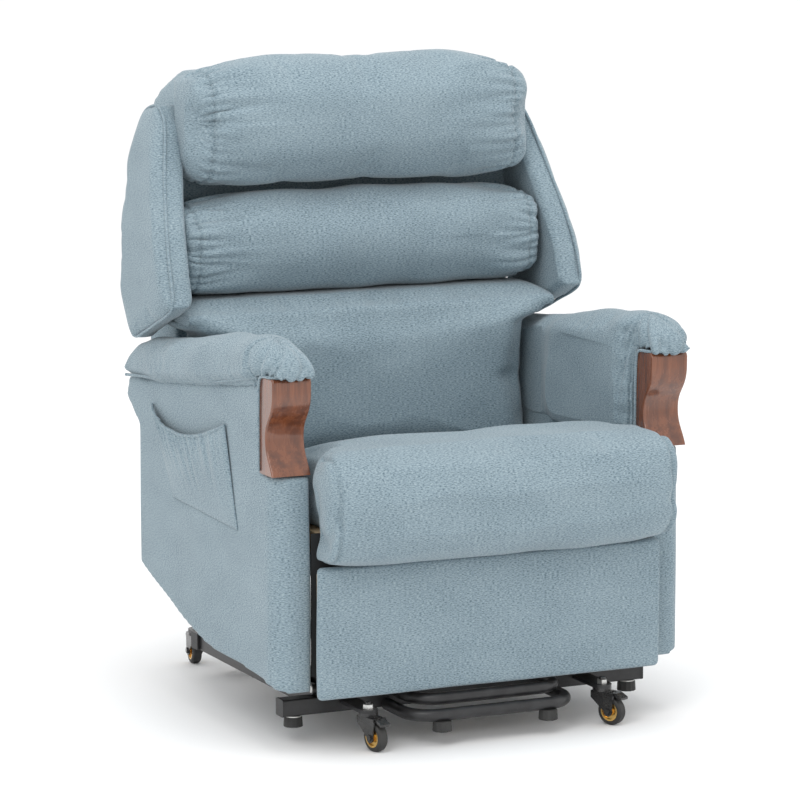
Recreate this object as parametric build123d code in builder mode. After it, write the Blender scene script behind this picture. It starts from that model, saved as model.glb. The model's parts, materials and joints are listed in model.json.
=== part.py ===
"""Lift recliner chair: a tilting lift base on castors, a steel chassis with upholstered arms and seat,
a reclining backrest with wings, and a folding leg rest.

Frame: millimetres, +Z up, the chair faces -Y, X = 0 is the middle, Z = 0 is the floor under the
castors, and Y = 0 is halfway between the front of the seat roll and the back of the backrest.
"""
from math import atan2, cos, degrees, hypot, radians, sin
import os

from build123d import *

# ---------------------------------------------------------------- overall sizes
seat_half_width = 328.0        # from the middle to the inner face of an arm
arm_thickness = 72.0           # width of an arm and of its wood facing
pad_overhang = 20.0            # the arm pad stands out past the wood facing
overall_depth = 880.0          # seat roll to the back of the backrest
overall_height = 1165.0        # floor to the top of the head pillow
soft_gap = 6.0                 # between a cushion and the arm beside it
back_front = 116.0             # front face of the back cushion
arm_rear = 301.0               # rear edge of the arm panels

# ---------------------------------------------------------------- floor base
wheel_diameter = 50.0
wheel_width = 18.0
castor_trail = 22.0            # from the swivel axis to the axle
front_castor_x = 228.0
rear_castor_x = 250.0
front_castor_y = -340.0
rear_castor_y = 388.5
bar = 30.0                     # square tube of the base
bar_wall = 2.0
front_bar_half = 350.0
front_bar_y = -260.0           # front face of the front crossbar
rear_bar_y = 302.0             # front face of the rear crossbar
hoop_tube = 22.0               # round tube of both hoops
hoop_half_width = 155.0
hoop_front_y = -375.0
foot_radius = 17.0
foot_height = 17.0
front_foot_x = 328.0
rear_foot_x = 200.0
hoop_foot_x = 103.0
shaft_clearance = 0.05         # radial, every pivot and axle
pivot_radius = 6.0
plate = 8.0                    # thickness of links, arms and lug plates
plate_gap = 1.0                # air between neighbouring plates

# ---------------------------------------------------------------- chassis
chassis_z = wheel_diameter + 255.0             # underside of the chassis side rails
rail_width = 25.0
rail_height = 40.0
cross_tube = 25.0
seat_frame_height = 38.0
seat_frame_width = 36.0
spring_wire = 4.0
spring_count = 5
seat_rear = 110.0              # rear end of the seat cushion

# ---------------------------------------------------------------- upholstery heights
skirt_z = chassis_z - 208.0    # lowest edge of the leg rest
arm_front_height = chassis_z + 349.0           # top of the wood facing
wood_bottom = chassis_z + 181.0
wood_depth = 58.0
seat_crest = chassis_z + 220.0
roll_bottom = chassis_z + 31.0
roll_reach = 110.0             # the roll hangs this far in front of the arms
roll_radius = 45.0
leg_rest_half_width = seat_half_width + 3.0
leg_rest_top = chassis_z + 15.0
leg_rest_pad = 18.0
leg_rest_board = 6.0
back_cushion_bottom = chassis_z + 97.0
back_cushion_top = chassis_z + 417.0
lumbar_share = 187 / 433       # lumbar pillow's part of the height above the back cushion
pillow_gap = 5.0
back_spread_z = chassis_z + 395.0              # above the arms the back grows wider
upper_half_width = seat_half_width + 32.0
head_half_width = upper_half_width - 10.0
wing_inner = upper_half_width + 6.0
wing_bottom = arm_front_height - 20.0
wing_drop = 85.0               # top of a wing, down from the overall height
shell_front = 300.0            # front face of the back shell

# ---------------------------------------------------------------- pivots, as (y, z)
bar_z = wheel_diameter
bar_top = bar_z + bar
lift_pivot = (-190.0, bar_top + 23.0)          # lift arms on the base
tilt_pivot = (165.0, bar_top + 39.0)           # chassis on the lift arms
link_pivot = (-244.0, bar_top + 11.0)          # lift links on the base
link_end = (25.0, bar_top + 19.0)              # lift links beside the chassis, left open
back_pivot = (215.0, chassis_z + rail_height + 75.0)
foot_pivot = (-230.0, chassis_z - 23.0)        # rear links of the leg rest on the chassis
guide_step = (-32.0, 16.0)                     # guide link pivots, from the rear link pivots
foot_knee = (foot_pivot[0] + 43.0, foot_pivot[1] - 151.0)
board_pivot = (foot_pivot[0] - 100.0, foot_pivot[1] + 8.0)
lift_crank = 80.0              # crank radii of the three drives
lift_crank_angle = 61.0
back_crank = 95.0
back_crank_angle = -71.0
foot_crank = 45.0
foot_crank_angle = -40.0
drive_x = 70.0                 # recline drive at +x, leg rest drive at -x
rod_radius = 8.0
sleeve_radius = 13.0
yoke_wall = 5.0
crank_plate = 8.0

# ---------------------------------------------------------------- worked out
SIDES = (-1, 1)
roll_front = -overall_depth / 2
back_rear = overall_depth / 2
arm_front = roll_front + roll_reach
arm_outer = seat_half_width + arm_thickness
pad_outer = arm_outer + pad_overhang
cushion_half = seat_half_width - soft_gap
chassis_top = chassis_z + rail_height
seat_frame_top = chassis_top + seat_frame_height
rail_inner = seat_half_width - rail_width      # inner face of a chassis rail
drop_x = rail_inner - plate                    # plates stacked inwards from the rail
link_x = drop_x - plate_gap - plate
lift_x = link_x - plate_gap - plate
upright_x = lift_x - plate_gap - plate
rail_inner_x = upright_x - 18.0                # inner face of a base rail
rear_bar_half = rail_inner_x + bar + 1.0
lug_x = 215.0                                  # leg rest lug plates on the chassis
rear_link_x = lug_x - plate_gap - plate
front_link_x = rear_link_x - plate_gap - plate
guide_x = front_link_x - plate_gap - plate
board_face = arm_front - 12.0 - leg_rest_board - leg_rest_pad
board_rear = arm_front - 12.0
bore = pivot_radius + shaft_clearance


def at(point, step):
    """A point moved by a step, both (y, z)."""
    return (point[0] + step[0], point[1] + step[1])


def polar(centre, radius, degrees):
    """The point at a radius and an angle from a centre, in the side view."""
    return (centre[0] + radius * cos(radians(degrees)), centre[1] + radius * sin(radians(degrees)))


def side(x):
    """The side-view plane at x: sketch coordinates are (y, z), and it faces +X."""
    return Plane.YZ.offset(x)


def keep(part, name):
    """Label a finished piece and write its STEP file."""
    part.label = name
    export_step(part, f"parts/{name}.step")


def outline(points):
    """A closed face through the given corners, in the current sketch."""
    Polygon(*points, align=None)


def bar_between(start, end, width):
    """A flat bar with round ends, centred on two pivots, in the current sketch."""
    middle = ((start[0] + end[0]) / 2, (start[1] + end[1]) / 2)
    run = (end[0] - start[0], end[1] - start[1])
    with Locations(middle):
        SlotCenterToCenter(hypot(*run), width, rotation=degrees(atan2(run[1], run[0])))


def pin(point, x_from, x_to, radius=pivot_radius, mode=Mode.ADD):
    """A round pin, or with Mode.SUBTRACT a bore, along X between two x values."""
    with Locations(((x_from + x_to) / 2, *point)):
        Cylinder(radius, abs(x_to - x_from), rotation=(0, 90, 0), mode=mode)


def slab(low, high):
    """A block between two opposite corners (x, y, z), in the current part."""
    size = [b - a for a, b in zip(low, high)]
    with Locations(tuple((a + b) / 2 for a, b in zip(low, high))):
        Box(*size)


os.makedirs("parts", exist_ok=True)

# ================================================================ floor base
CROSSBARS = (("front_crossbar", front_bar_y, front_bar_half, front_foot_x),
             ("rear_crossbar", rear_bar_y, rear_bar_half, rear_foot_x))
for name, y, half, _ in CROSSBARS:
    with BuildPart() as crossbar:
        with BuildSketch(side(-half)):
            with Locations((y + bar / 2, bar_z + bar / 2)):
                RectangleRounded(bar, bar, 3)
                Rectangle(bar - 2 * bar_wall, bar - 2 * bar_wall, mode=Mode.SUBTRACT)
        extrude(amount=2 * half)
    keep(crossbar.part, name)

with BuildPart() as base_rails:
    for s in SIDES:
        with BuildSketch(Plane.XZ.offset(-(front_bar_y + bar))):
            with Locations((s * (rail_inner_x + bar / 2), bar_z + bar / 2)):
                Rectangle(bar, bar)
                Rectangle(bar - 2 * bar_wall, bar - 2 * bar_wall, mode=Mode.SUBTRACT)
        extrude(amount=-(rear_bar_y - front_bar_y - bar))
keep(base_rails.part, "base_rails")

cap_lip = 4.0
with BuildPart() as bar_end_caps:
    for s in SIDES:
        for _, y, half, _ in CROSSBARS:
            with BuildSketch(side(s * half)):
                with Locations((y + bar / 2, bar_z + bar / 2)):
                    RectangleRounded(bar + 1, bar + 1, 4)
            extrude(amount=s * cap_lip)
            with BuildSketch(side(s * half)):
                with Locations((y + bar / 2, bar_z + bar / 2)):
                    Rectangle(bar - 2 * bar_wall, bar - 2 * bar_wall)
            extrude(amount=-s * 12)
keep(bar_end_caps.part, "bar_end_caps")

stem_collar = 3.0
hoop_z = bar_z + hoop_tube / 2 - 6
hoop_foot_y = hoop_front_y + 12
with BuildPart() as levelling_feet:
    for s in SIDES:
        for _, y, _, foot_x in CROSSBARS:
            with BuildSketch(Plane.XY.offset(bar_z - stem_collar - foot_height)):
                with Locations((s * foot_x, y + bar / 2)):
                    RegularPolygon(foot_radius, 12)
            extrude(amount=foot_height, taper=3)
            with BuildSketch(Plane.XY.offset(bar_z - stem_collar)):
                with Locations((s * foot_x, y + bar / 2)):
                    Circle(foot_radius - 3)
            extrude(amount=stem_collar)
        with BuildSketch(Plane.XY.offset(hoop_z - hoop_tube / 2 - foot_height)):
            with Locations((s * hoop_foot_x, hoop_front_y)):
                RegularPolygon(foot_radius, 12)
        extrude(amount=foot_height + 1, taper=3)
        with BuildPart(mode=Mode.PRIVATE) as hoop_bar:
            with Locations((s * hoop_foot_x, hoop_front_y, hoop_z)):
                Cylinder(hoop_tube / 2, 3 * foot_radius, rotation=(0, 90, 0))
        add(hoop_bar.part, mode=Mode.SUBTRACT)
keep(levelling_feet.part, "levelling_feet")


def hoop(half_width, front_y, rear_y, z):
    """A U of round tube lying flat, open to the rear."""
    with BuildPart() as piece:
        with BuildLine() as path:
            FilletPolyline((-half_width, rear_y, z), (-half_width, front_y, z), (half_width, front_y, z),
                           (half_width, rear_y, z), radius=50)
        with BuildSketch(Plane(origin=(-half_width, rear_y, z), z_dir=(0, -1, 0))):
            Circle(hoop_tube / 2)
        sweep(path=path.line)
    return piece.part


keep(hoop(hoop_half_width, hoop_front_y, front_bar_y, hoop_z), "floor_hoop")

tab = 6.0
tab_z = bar_z + 15.0
tab_half = 17.0
with BuildPart() as castor_brackets:
    for s in SIDES:
        for castor_x, y, face in ((front_castor_x, front_castor_y, front_bar_y),
                                  (rear_castor_x, rear_castor_y, rear_bar_y + bar)):
            with BuildSketch(Plane.XY.offset(tab_z)):
                with Locations((s * castor_x, (y + face) / 2)):
                    Rectangle(2 * tab_half, abs(y - face))
                with Locations((s * castor_x, y)):
                    Circle(tab_half)
                    Circle(pivot_radius, mode=Mode.SUBTRACT)
            extrude(amount=tab)
keep(castor_brackets.part, "castor_brackets")

nut_height = 8.0
with BuildPart() as castor_stem_nuts:
    for s in SIDES:
        for castor_x, y in ((front_castor_x, front_castor_y), (rear_castor_x, rear_castor_y)):
            with BuildSketch(Plane.XY.offset(tab_z + tab)):
                with Locations((s * castor_x, y)):
                    RegularPolygon(9.5, 6)
                    Circle(pivot_radius, mode=Mode.SUBTRACT)
            extrude(amount=nut_height)
keep(castor_stem_nuts.part, "castor_stem_nuts")

torsion_radius = 10.0          # tube that joins the lift arms and turns in the uprights
upright_rim = 7.0
with BuildPart() as lift_uprights:
    for s in SIDES:
        with BuildSketch(side(s * upright_x)):
            outline([(link_pivot[0] - 11, bar_top), (lift_pivot[0] + 40, bar_top),
                     at(lift_pivot, (torsion_radius + upright_rim, 0)),
                     at(lift_pivot, (0, torsion_radius + upright_rim)), at(link_pivot, (0, 11)),
                     at(link_pivot, (-11, 0))])
            with Locations(lift_pivot):
                Circle(torsion_radius + upright_rim)
                Circle(torsion_radius + shaft_clearance, mode=Mode.SUBTRACT)
            with Locations(link_pivot):
                Circle(11)
                Circle(pivot_radius, mode=Mode.SUBTRACT)
        extrude(amount=s * plate)
keep(lift_uprights.part, "lift_uprights")

pin_head = 3.0
with BuildPart() as lift_pivot_pins:
    for s in SIDES:
        pin(link_pivot, s * (upright_x - pin_head), s * (link_x + plate))
        pin(link_pivot, s * (upright_x - pin_head), s * upright_x, radius=pivot_radius + 4)
keep(lift_pivot_pins.part, "lift_pivot_pins")

# ================================================================ castors
axle_radius = 4.0
axle_z = wheel_diameter / 2
cheek_gap = 1.0
cheek = 2.5
hub_radius = 17.5
hub_half = wheel_width / 2 + 1
cheek_x = hub_half + cheek_gap
crown_z = wheel_diameter + 3
crown_top = tab_z - 6
pedal_pivot = (-castor_trail - 5, crown_z + 3)
pedal_radius = 3.0


def castor(corner, x, y, turn):
    """The fork, tyre, hub and brake pedal of one castor, trailing to -Y before it is turned."""
    frame = Plane(origin=(x, y, 0), x_dir=(cos(radians(turn)), sin(radians(turn)), 0), z_dir=(0, 0, 1))
    across = Plane(frame.origin, x_dir=frame.y_dir, z_dir=frame.x_dir)
    axle = (-castor_trail, axle_z)
    with BuildPart() as fork:
        with BuildSketch(frame.offset(crown_top)):
            Circle(17)
        extrude(amount=tab_z - crown_top)
        with BuildSketch(frame.offset(crown_z)):
            with Locations((0, -2)):
                RectangleRounded(2 * (cheek_x + cheek), 36, 6)
        extrude(amount=crown_top - crown_z)
        with BuildSketch(frame.offset(tab_z)):
            Circle(pivot_radius)
        extrude(amount=tab + nut_height + 4)
        for s in SIDES:
            with BuildSketch(across.offset(s * cheek_x)):
                outline([(15, crown_top), (-castor_trail - 11, crown_top), (-castor_trail - 11, crown_z - 2),
                         (-castor_trail - 8.5, axle_z), (-castor_trail + 8.5, axle_z), (15, crown_z - 6)])
                with Locations(axle):
                    Circle(9)
                with Locations(pedal_pivot):
                    Circle(pedal_radius + shaft_clearance, mode=Mode.SUBTRACT)
            extrude(amount=s * cheek)
            with BuildSketch(across.offset(s * (cheek_x + cheek))):
                with Locations(axle):
                    RegularPolygon(6, 6)
            extrude(amount=s * 2.5)
        with BuildSketch(across.offset(-cheek_x - cheek)):
            with Locations(axle):
                Circle(axle_radius)
        extrude(amount=2 * (cheek_x + cheek))
    keep(fork.part, f"castor_fork_{corner}")

    with BuildPart() as tyre:
        with BuildSketch(across.offset(-wheel_width / 2)):
            with Locations(axle):
                Circle(wheel_diameter / 2)
                Circle(hub_radius, mode=Mode.SUBTRACT)
        extrude(amount=wheel_width)
        fillet(tyre.edges().filter_by(GeomType.CIRCLE).group_by(SortBy.RADIUS)[-1], 4)
    keep(tyre.part, f"castor_tyre_{corner}")

    with BuildPart() as hub:
        with BuildSketch(across.offset(-wheel_width / 2)):
            with Locations(axle):
                Circle(hub_radius)
        extrude(amount=wheel_width)
        for s in SIDES:
            with BuildSketch(across.offset(s * wheel_width / 2)):
                with Locations(axle):
                    Circle(hub_radius - 3)
                    Circle(axle_radius + 4, mode=Mode.SUBTRACT)
            extrude(amount=-s * 3, mode=Mode.SUBTRACT)
        with BuildSketch(across.offset(-hub_half)):
            with Locations(axle):
                Circle(axle_radius + 3)
        extrude(amount=2 * hub_half)
        with BuildSketch(across.offset(-hub_half)):
            with Locations(axle):
                Circle(axle_radius + shaft_clearance)
        extrude(amount=2 * hub_half, mode=Mode.SUBTRACT)
    keep(hub.part, f"castor_hub_{corner}")

    with BuildPart() as pedal:
        with BuildSketch(across.offset(-hub_half)):
            outline([at(pedal_pivot, (1, 3)), at(pedal_pivot, (-10, 3)), at(pedal_pivot, (-23, -4)),
                     at(pedal_pivot, (-22, -8)), at(pedal_pivot, (-8, -2)), at(pedal_pivot, (1, -2))])
            with Locations(pedal_pivot):
                Circle(pedal_radius)
        extrude(amount=2 * hub_half)
        with BuildSketch(across.offset(-cheek_x - cheek)):
            with Locations(pedal_pivot):
                Circle(pedal_radius)
        extrude(amount=2 * (cheek_x + cheek))
    keep(pedal.part, f"castor_pedal_{corner}")


front_left_turn = 12.0         # how far each castor has swivelled at rest, from trailing to the front
front_right_turn = 26.0
rear_left_turn = 172.0
rear_right_turn = 188.0
castor("front_left", -front_castor_x, front_castor_y, front_left_turn)
castor("front_right", front_castor_x, front_castor_y, front_right_turn)
castor("rear_left", -rear_castor_x, rear_castor_y, rear_left_turn)
castor("rear_right", rear_castor_x, rear_castor_y, rear_right_turn)

# ================================================================ lift linkage
lift_bar = 30.0
link_bar = 20.0
tube_radius = 10.0
lift_crank_pin = polar(lift_pivot, lift_crank, lift_crank_angle)
with BuildPart() as lift_arms:
    for s in SIDES:
        with BuildSketch(side(s * lift_x)):
            bar_between(lift_pivot, tilt_pivot, lift_bar)
            with Locations(tilt_pivot):
                Circle(bore, mode=Mode.SUBTRACT)
        extrude(amount=s * plate)
    pin(lift_pivot, -lift_x - plate, lift_x + plate, radius=torsion_radius)
    with BuildSketch(side(-crank_plate / 2)):
        bar_between(lift_pivot, lift_crank_pin, 20)
    extrude(amount=crank_plate)
    pin(lift_crank_pin, -crank_plate / 2 - plate_gap - yoke_wall, crank_plate / 2 + plate_gap + yoke_wall, 5)
keep(lift_arms.part, "lift_arms")

open_pivot_slack = 1.5         # the open end of the lift links leaves the true circle by 1.1
stud_radius = 4.5
with BuildPart() as lift_links:
    for s in SIDES:
        with BuildSketch(side(s * link_x)):
            bar_between(link_pivot, link_end, link_bar)
            with Locations(link_pivot):
                Circle(bore, mode=Mode.SUBTRACT)
            with Locations(link_end):
                Circle(stud_radius + open_pivot_slack, mode=Mode.SUBTRACT)
        extrude(amount=s * plate)
keep(lift_links.part, "lift_links")


def drive_rod(x, crank_pin, axis_z, slot_half, slot_reach, room, tail_y):
    """A round rod with a slotted yoke that takes a crank pin, running to the rear or front at tail_y.

    The crank swings between the yoke's cheeks, up to room behind its pin."""
    low_x = x - crank_plate / 2 - plate_gap - yoke_wall
    width = 2 * (x - low_x)
    way = 1 if tail_y > crank_pin[0] else -1
    root = crank_pin[0] + way * (room + 4)
    with BuildPart() as rod:
        with BuildSketch(side(low_x)):
            with Locations(((crank_pin[0] + root) / 2 - way * 3, axis_z)):
                Rectangle(abs(root - crank_pin[0]) + 18, 2 * (slot_reach + 9))
            with Locations((crank_pin[0], axis_z)):
                Rectangle(2 * slot_half, 2 * slot_reach, mode=Mode.SUBTRACT)
        extrude(amount=width)
        with BuildSketch(side(x - crank_plate / 2 - plate_gap)):
            with Locations((crank_pin[0] + way * (room - 20) / 2, axis_z)):
                Rectangle(room + 20, 4 * (slot_reach + 9))
        extrude(amount=crank_plate + 2 * plate_gap, mode=Mode.SUBTRACT)
        with BuildSketch(Plane(origin=(x, root, axis_z), z_dir=(0, way, 0))):
            Circle(rod_radius)
        extrude(amount=abs(tail_y - root))
    return rod.part


def drive_body(x, axis_z, mouth_y, end_y, housing_y, extras):
    """A sleeve that the rod slides in, with a gear and motor housing round its closed end."""
    way = 1 if end_y > mouth_y else -1
    with BuildPart() as body:
        with BuildSketch(Plane(origin=(x, mouth_y, axis_z), z_dir=(0, way, 0))):
            Circle(sleeve_radius)
        extrude(amount=abs(end_y - mouth_y))
        slab((x - 32, min(housing_y, end_y), axis_z - 15), (x + 32, max(housing_y, end_y), axis_z + 15))
        for low, high in extras:
            slab(low, high)
        with BuildSketch(Plane(origin=(x, mouth_y, axis_z), z_dir=(0, way, 0))):
            Circle(rod_radius + shaft_clearance)
        extrude(amount=abs(end_y - mouth_y) - 12, mode=Mode.SUBTRACT)
    return body.part


lift_axis_z = lift_pivot[1] + lift_crank * (sin(radians(lift_crank_angle)) + 1) / 2
motor_end = 272.0
keep(drive_rod(0, lift_crank_pin, lift_axis_z, 6.2, 11.5, 26, 150), "lift_rod")
keep(drive_body(0, lift_axis_z, -40, motor_end, motor_end - 85, [
    ((-25, motor_end - 32, bar_top), (25, motor_end - 26, lift_axis_z - 10)),
    ((-25, motor_end - 32, bar_top), (25, rear_bar_y + bar, bar_top + 5)),
    ((-22, motor_end - 80, lift_axis_z - 40), (22, motor_end - 36, lift_axis_z + 10))]), "lift_motor")

# ================================================================ chassis
front_tube_y = -300.0
middle_tube_y = -130.0
rear_tube_y = 250.0
pivot_plate = 6.0
pivot_plate_x = 311.0
bracket_x = 302.0
lug_reach = 26.0
with BuildPart() as chassis_frame:
    for s in SIDES:
        x_low, x_high = sorted((s * rail_inner, s * seat_half_width))
        slab((x_low, arm_front + 30, chassis_z), (x_high, rear_tube_y + 20, chassis_top))
        with BuildSketch(side(s * drop_x)):
            outline([(link_end[0] - 25, chassis_top - 5), (tilt_pivot[0] + 40, chassis_top - 5),
                     at(tilt_pivot, (19, 0)), at(tilt_pivot, (0, -19)), at(link_end, (0, -18)),
                     at(link_end, (-18, 0))])
            with Locations(tilt_pivot):
                Circle(19)
            with Locations(link_end):
                Circle(18)
        extrude(amount=s * plate)
        pin(tilt_pivot, s * lift_x, s * rail_inner)
        pin(link_end, s * link_x, s * rail_inner, radius=stud_radius)
        with BuildSketch(side(s * pivot_plate_x)):
            with Locations(((back_pivot[0]), (chassis_top + back_pivot[1]) / 2)):
                Rectangle(32, back_pivot[1] - chassis_top)
            with Locations(back_pivot):
                Circle(16)
        extrude(amount=s * pivot_plate)
        pin(back_pivot, s * bracket_x, s * (pivot_plate_x + pivot_plate))
        with BuildSketch(side(s * lug_x)):
            outline([(front_tube_y, chassis_z + cross_tube), (front_tube_y, chassis_z),
                     at(foot_pivot, (guide_step[0] - 12, guide_step[1] - 8)), at(foot_pivot, (-14, -6)),
                     at(foot_pivot, (0, -14)), at(foot_pivot, (14, 0)),
                     (foot_pivot[0] + 40, chassis_z + cross_tube)])
            with Locations(foot_pivot):
                Circle(14)
                Circle(bore, mode=Mode.SUBTRACT)
        extrude(amount=s * plate)
        pin(at(foot_pivot, guide_step), s * guide_x, s * (lug_x + plate))
    slab((-rail_inner, front_tube_y, chassis_z), (rail_inner, front_tube_y + cross_tube, chassis_z + cross_tube))
    for y in (middle_tube_y, rear_tube_y):
        slab((-seat_half_width, y, chassis_z - cross_tube), (seat_half_width, y + cross_tube, chassis_z))
keep(chassis_frame.part, "chassis_frame")

hanger_x = 140.0
upper_hoop_z = bar_top - 1
with BuildPart() as lift_hoop:
    add(hoop(hanger_x, hoop_front_y + 20, front_bar_y - 4, upper_hoop_z))
    for s in SIDES:
        slab((s * hanger_x - 3, front_tube_y + 10, upper_hoop_z),
             (s * hanger_x + 3, front_bar_y - 4, chassis_z))
keep(lift_hoop.part, "lift_hoop")

rear_panel_top = 290.0
with BuildPart() as rear_panel:
    slab((-seat_half_width, arm_rear - 11, rear_panel_top - 100), (seat_half_width, arm_rear, rear_panel_top))
keep(rear_panel.part, "rear_panel")

with BuildPart() as control_box:
    slab((100, rear_tube_y - 70, chassis_z - cross_tube - 42), (220, rear_tube_y + 12, chassis_z - cross_tube))
    fillet(control_box.edges().filter_by(Axis.Z), 6)
    with BuildSketch(Plane.YZ.offset(100)):
        with GridLocations(24, 1, 3, 1):
            with Locations((rear_tube_y - 29, chassis_z - cross_tube - 21)):
                Rectangle(14, 10)
    extrude(amount=9, mode=Mode.SUBTRACT)
keep(control_box.part, "control_box")

seat_frame_front = arm_front + 12
seat_frame_rear = seat_rear - 10
with BuildPart() as seat_frame:
    slab((-cushion_half + 6, seat_frame_front, chassis_top), (cushion_half - 6, seat_frame_rear, seat_frame_top))
    with BuildSketch(Plane.XY.offset(chassis_top)):
        with Locations((0, (seat_frame_front + seat_frame_rear) / 2)):
            Rectangle(2 * (cushion_half - 6 - seat_frame_width),
                      seat_frame_rear - seat_frame_front - 2 * seat_frame_width)
    extrude(amount=seat_frame_height, mode=Mode.SUBTRACT)
keep(seat_frame.part, "seat_frame")

spring_half = 24.0
spring_turns = 12
spring_front = seat_frame_front + 14
spring_pitch = (seat_frame_rear - seat_frame_front - 28) / spring_turns
spring_step = 2 * (cushion_half - seat_frame_width - 50) / (spring_count - 1)
with BuildPart() as seat_springs:
    for n in range(spring_count):
        middle = (n - (spring_count - 1) / 2) * spring_step
        path = []
        for turn in range(spring_turns + 1):
            reach = spring_half if turn % 2 else -spring_half
            near = spring_front + turn * spring_pitch
            path += [(middle - reach, near), (middle + reach, near)]
        with BuildSketch(Plane.XY.offset(seat_frame_top)):
            with BuildLine() as wire:
                FilletPolyline(*path, radius=spring_pitch * 0.45)
            trace(wire.line, line_width=spring_wire)
        extrude(amount=spring_wire)
keep(seat_springs.part, "seat_springs")

cushion_floor = seat_frame_top + spring_wire + 1
with BuildPart() as seat_cushion:
    with BuildSketch(side(-cushion_half)) as seat_side:
        outline([(seat_rear, cushion_floor), (seat_rear, seat_crest - 32), (-60, seat_crest - 18),
                 (-250, seat_crest - 6), (arm_front - 10, seat_crest), (roll_front, seat_crest - 4),
                 (roll_front, roll_bottom), (arm_front - 3, roll_bottom), (arm_front - 3, cushion_floor)])
        fillet(seat_side.vertices().group_by(Axis.X)[0], roll_radius)
    extrude(amount=2 * cushion_half)
keep(seat_cushion.part, "seat_cushion")

# ================================================================ arms
arm_bottom = skirt_z + 8
panel_outer = arm_outer - 2
corner_radius = 40.0
notch_rear = arm_front + wood_depth + 2
seam = [(arm_rear + 48, arm_front_height - 85), (175, arm_front_height - 72), (notch_rear, arm_front_height - 17)]
arm_side = [(arm_front, arm_bottom), (arm_front + 56, skirt_z + 24), (-150, skirt_z + 30),
            (-21, skirt_z + 35), (110, skirt_z + 67), (arm_rear, skirt_z + 129), (arm_rear, wood_bottom - 2),
            (arm_rear + 61, wood_bottom + 46), *seam, (notch_rear, wood_bottom), (arm_front, wood_bottom)]
pad_side = [(arm_front + 2, arm_front_height + 1), (arm_front - 26, arm_front_height + 22),
            (arm_front - 34, arm_front_height + 46), (arm_front - 12, arm_front_height + 68),
            (arm_front + 34, arm_front_height + 75), (-200, arm_front_height + 58),
            (-100, arm_front_height + 46), (100, arm_front_height + 10), (230, arm_front_height - 18),
            (320, arm_front_height - 54), (arm_rear + 58, arm_front_height - 80),
            (arm_rear + 48, arm_front_height - 84), (175, arm_front_height - 71),
            (notch_rear, arm_front_height - 16), (notch_rear, arm_front_height + 1)]
waist = 30.0                   # how far the middle of the wood facing is set back
for name, s in (("left", -1), ("right", 1)):
    with BuildPart() as arm_panel:
        with BuildSketch(side(s * seat_half_width)):
            outline(arm_side)
        extrude(amount=s * (panel_outer - seat_half_width))
        front_edges = arm_panel.edges().filter_by(Axis.Z).group_by(Axis.Y)[0]
        fillet(front_edges.sort_by(lambda e: s * e.center().X)[-1], corner_radius)
    keep(arm_panel.part, f"arm_panel_{name}")

    with BuildPart() as arm_pad:
        with BuildSketch(side(s * (seat_half_width - 4))):
            outline(pad_side)
        extrude(amount=s * (pad_outer - seat_half_width + 4))
        top_edges = arm_pad.faces().filter_by(lambda f: f.normal_at().Z > 0.3).edges()
        outer_top = top_edges.filter_by(lambda e: s * e.center().X > pad_outer - 1)
        fillet(outer_top, 16)
    keep(arm_pad.part, f"arm_pad_{name}")

    with BuildPart() as knuckle:
        with BuildSketch(side(s * seat_half_width)):
            with BuildLine():
                back = Line((arm_front + wood_depth, wood_bottom), (arm_front + wood_depth, arm_front_height))
                top = FilletPolyline(back @ 1, (arm_front, arm_front_height),
                                     (arm_front, arm_front_height - 24), radius=9)
                nose = Spline(top @ 1, (arm_front + waist, arm_front_height - 92),
                              (arm_front + waist, wood_bottom + 48), (arm_front + 3, wood_bottom),
                              tangents=[(0, -1), (-0.45, -1)])
                Line(nose @ 1, back @ 0)
            make_face()
        extrude(amount=s * arm_thickness)
        fillet(knuckle.faces().filter_by(Axis.X).edges().filter_by(
            lambda e: e.center().Y < arm_front + wood_depth - 1 and e.center().Z > wood_bottom + 1), 3)
    keep(knuckle.part, f"knuckle_{name}")

pocket_wall = 4.0
pocket_depth = 9.0
pocket_side = [(-93, wood_bottom + 54), (30, wood_bottom + 38), (150, wood_bottom + 26),
               (265, wood_bottom + 34), (172, wood_bottom - 116), (-172, wood_bottom - 117)]
pocket_room = [(-87, wood_bottom + 74), (255, wood_bottom + 74), (255, wood_bottom + 34),
               (167, wood_bottom - 108), (-163, wood_bottom - 109)]
with BuildPart() as side_pocket:
    with BuildSketch(side(-panel_outer)):
        outline(pocket_side)
    extrude(amount=-(pocket_depth + pocket_wall))
    with BuildSketch(side(-panel_outer)):
        outline(pocket_room)
    extrude(amount=-pocket_depth, mode=Mode.SUBTRACT)
keep(side_pocket.part, "side_pocket")

# ================================================================ drives on the chassis
back_crank_pin = polar(back_pivot, back_crank, back_crank_angle)
back_axis_z = back_pivot[1] + back_crank * (sin(radians(back_crank_angle)) - 1) / 2
keep(drive_rod(drive_x, back_crank_pin, back_axis_z, 6.2, 8.5, 18, -70), "recline_rod")
keep(drive_body(drive_x, back_axis_z, 120, -200, middle_tube_y + 40, [
    ((drive_x - 25, middle_tube_y, chassis_z), (drive_x + 25, middle_tube_y + cross_tube, back_axis_z))]),
    "recline_motor")
foot_crank_pin = polar(foot_pivot, foot_crank, foot_crank_angle)
foot_axis_z = foot_pivot[1] + foot_crank * (sin(radians(foot_crank_angle)) - 1) / 2
keep(drive_rod(-drive_x, foot_crank_pin, foot_axis_z, 7.6, 14.0, 36, 20), "leg_rest_rod")
keep(drive_body(-drive_x, foot_axis_z, middle_tube_y + 5, 140, 60, [
    ((-drive_x - 20, middle_tube_y + 5, foot_axis_z), (-drive_x + 20, middle_tube_y + 25, chassis_z - cross_tube))]),
    "leg_rest_motor")

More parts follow.
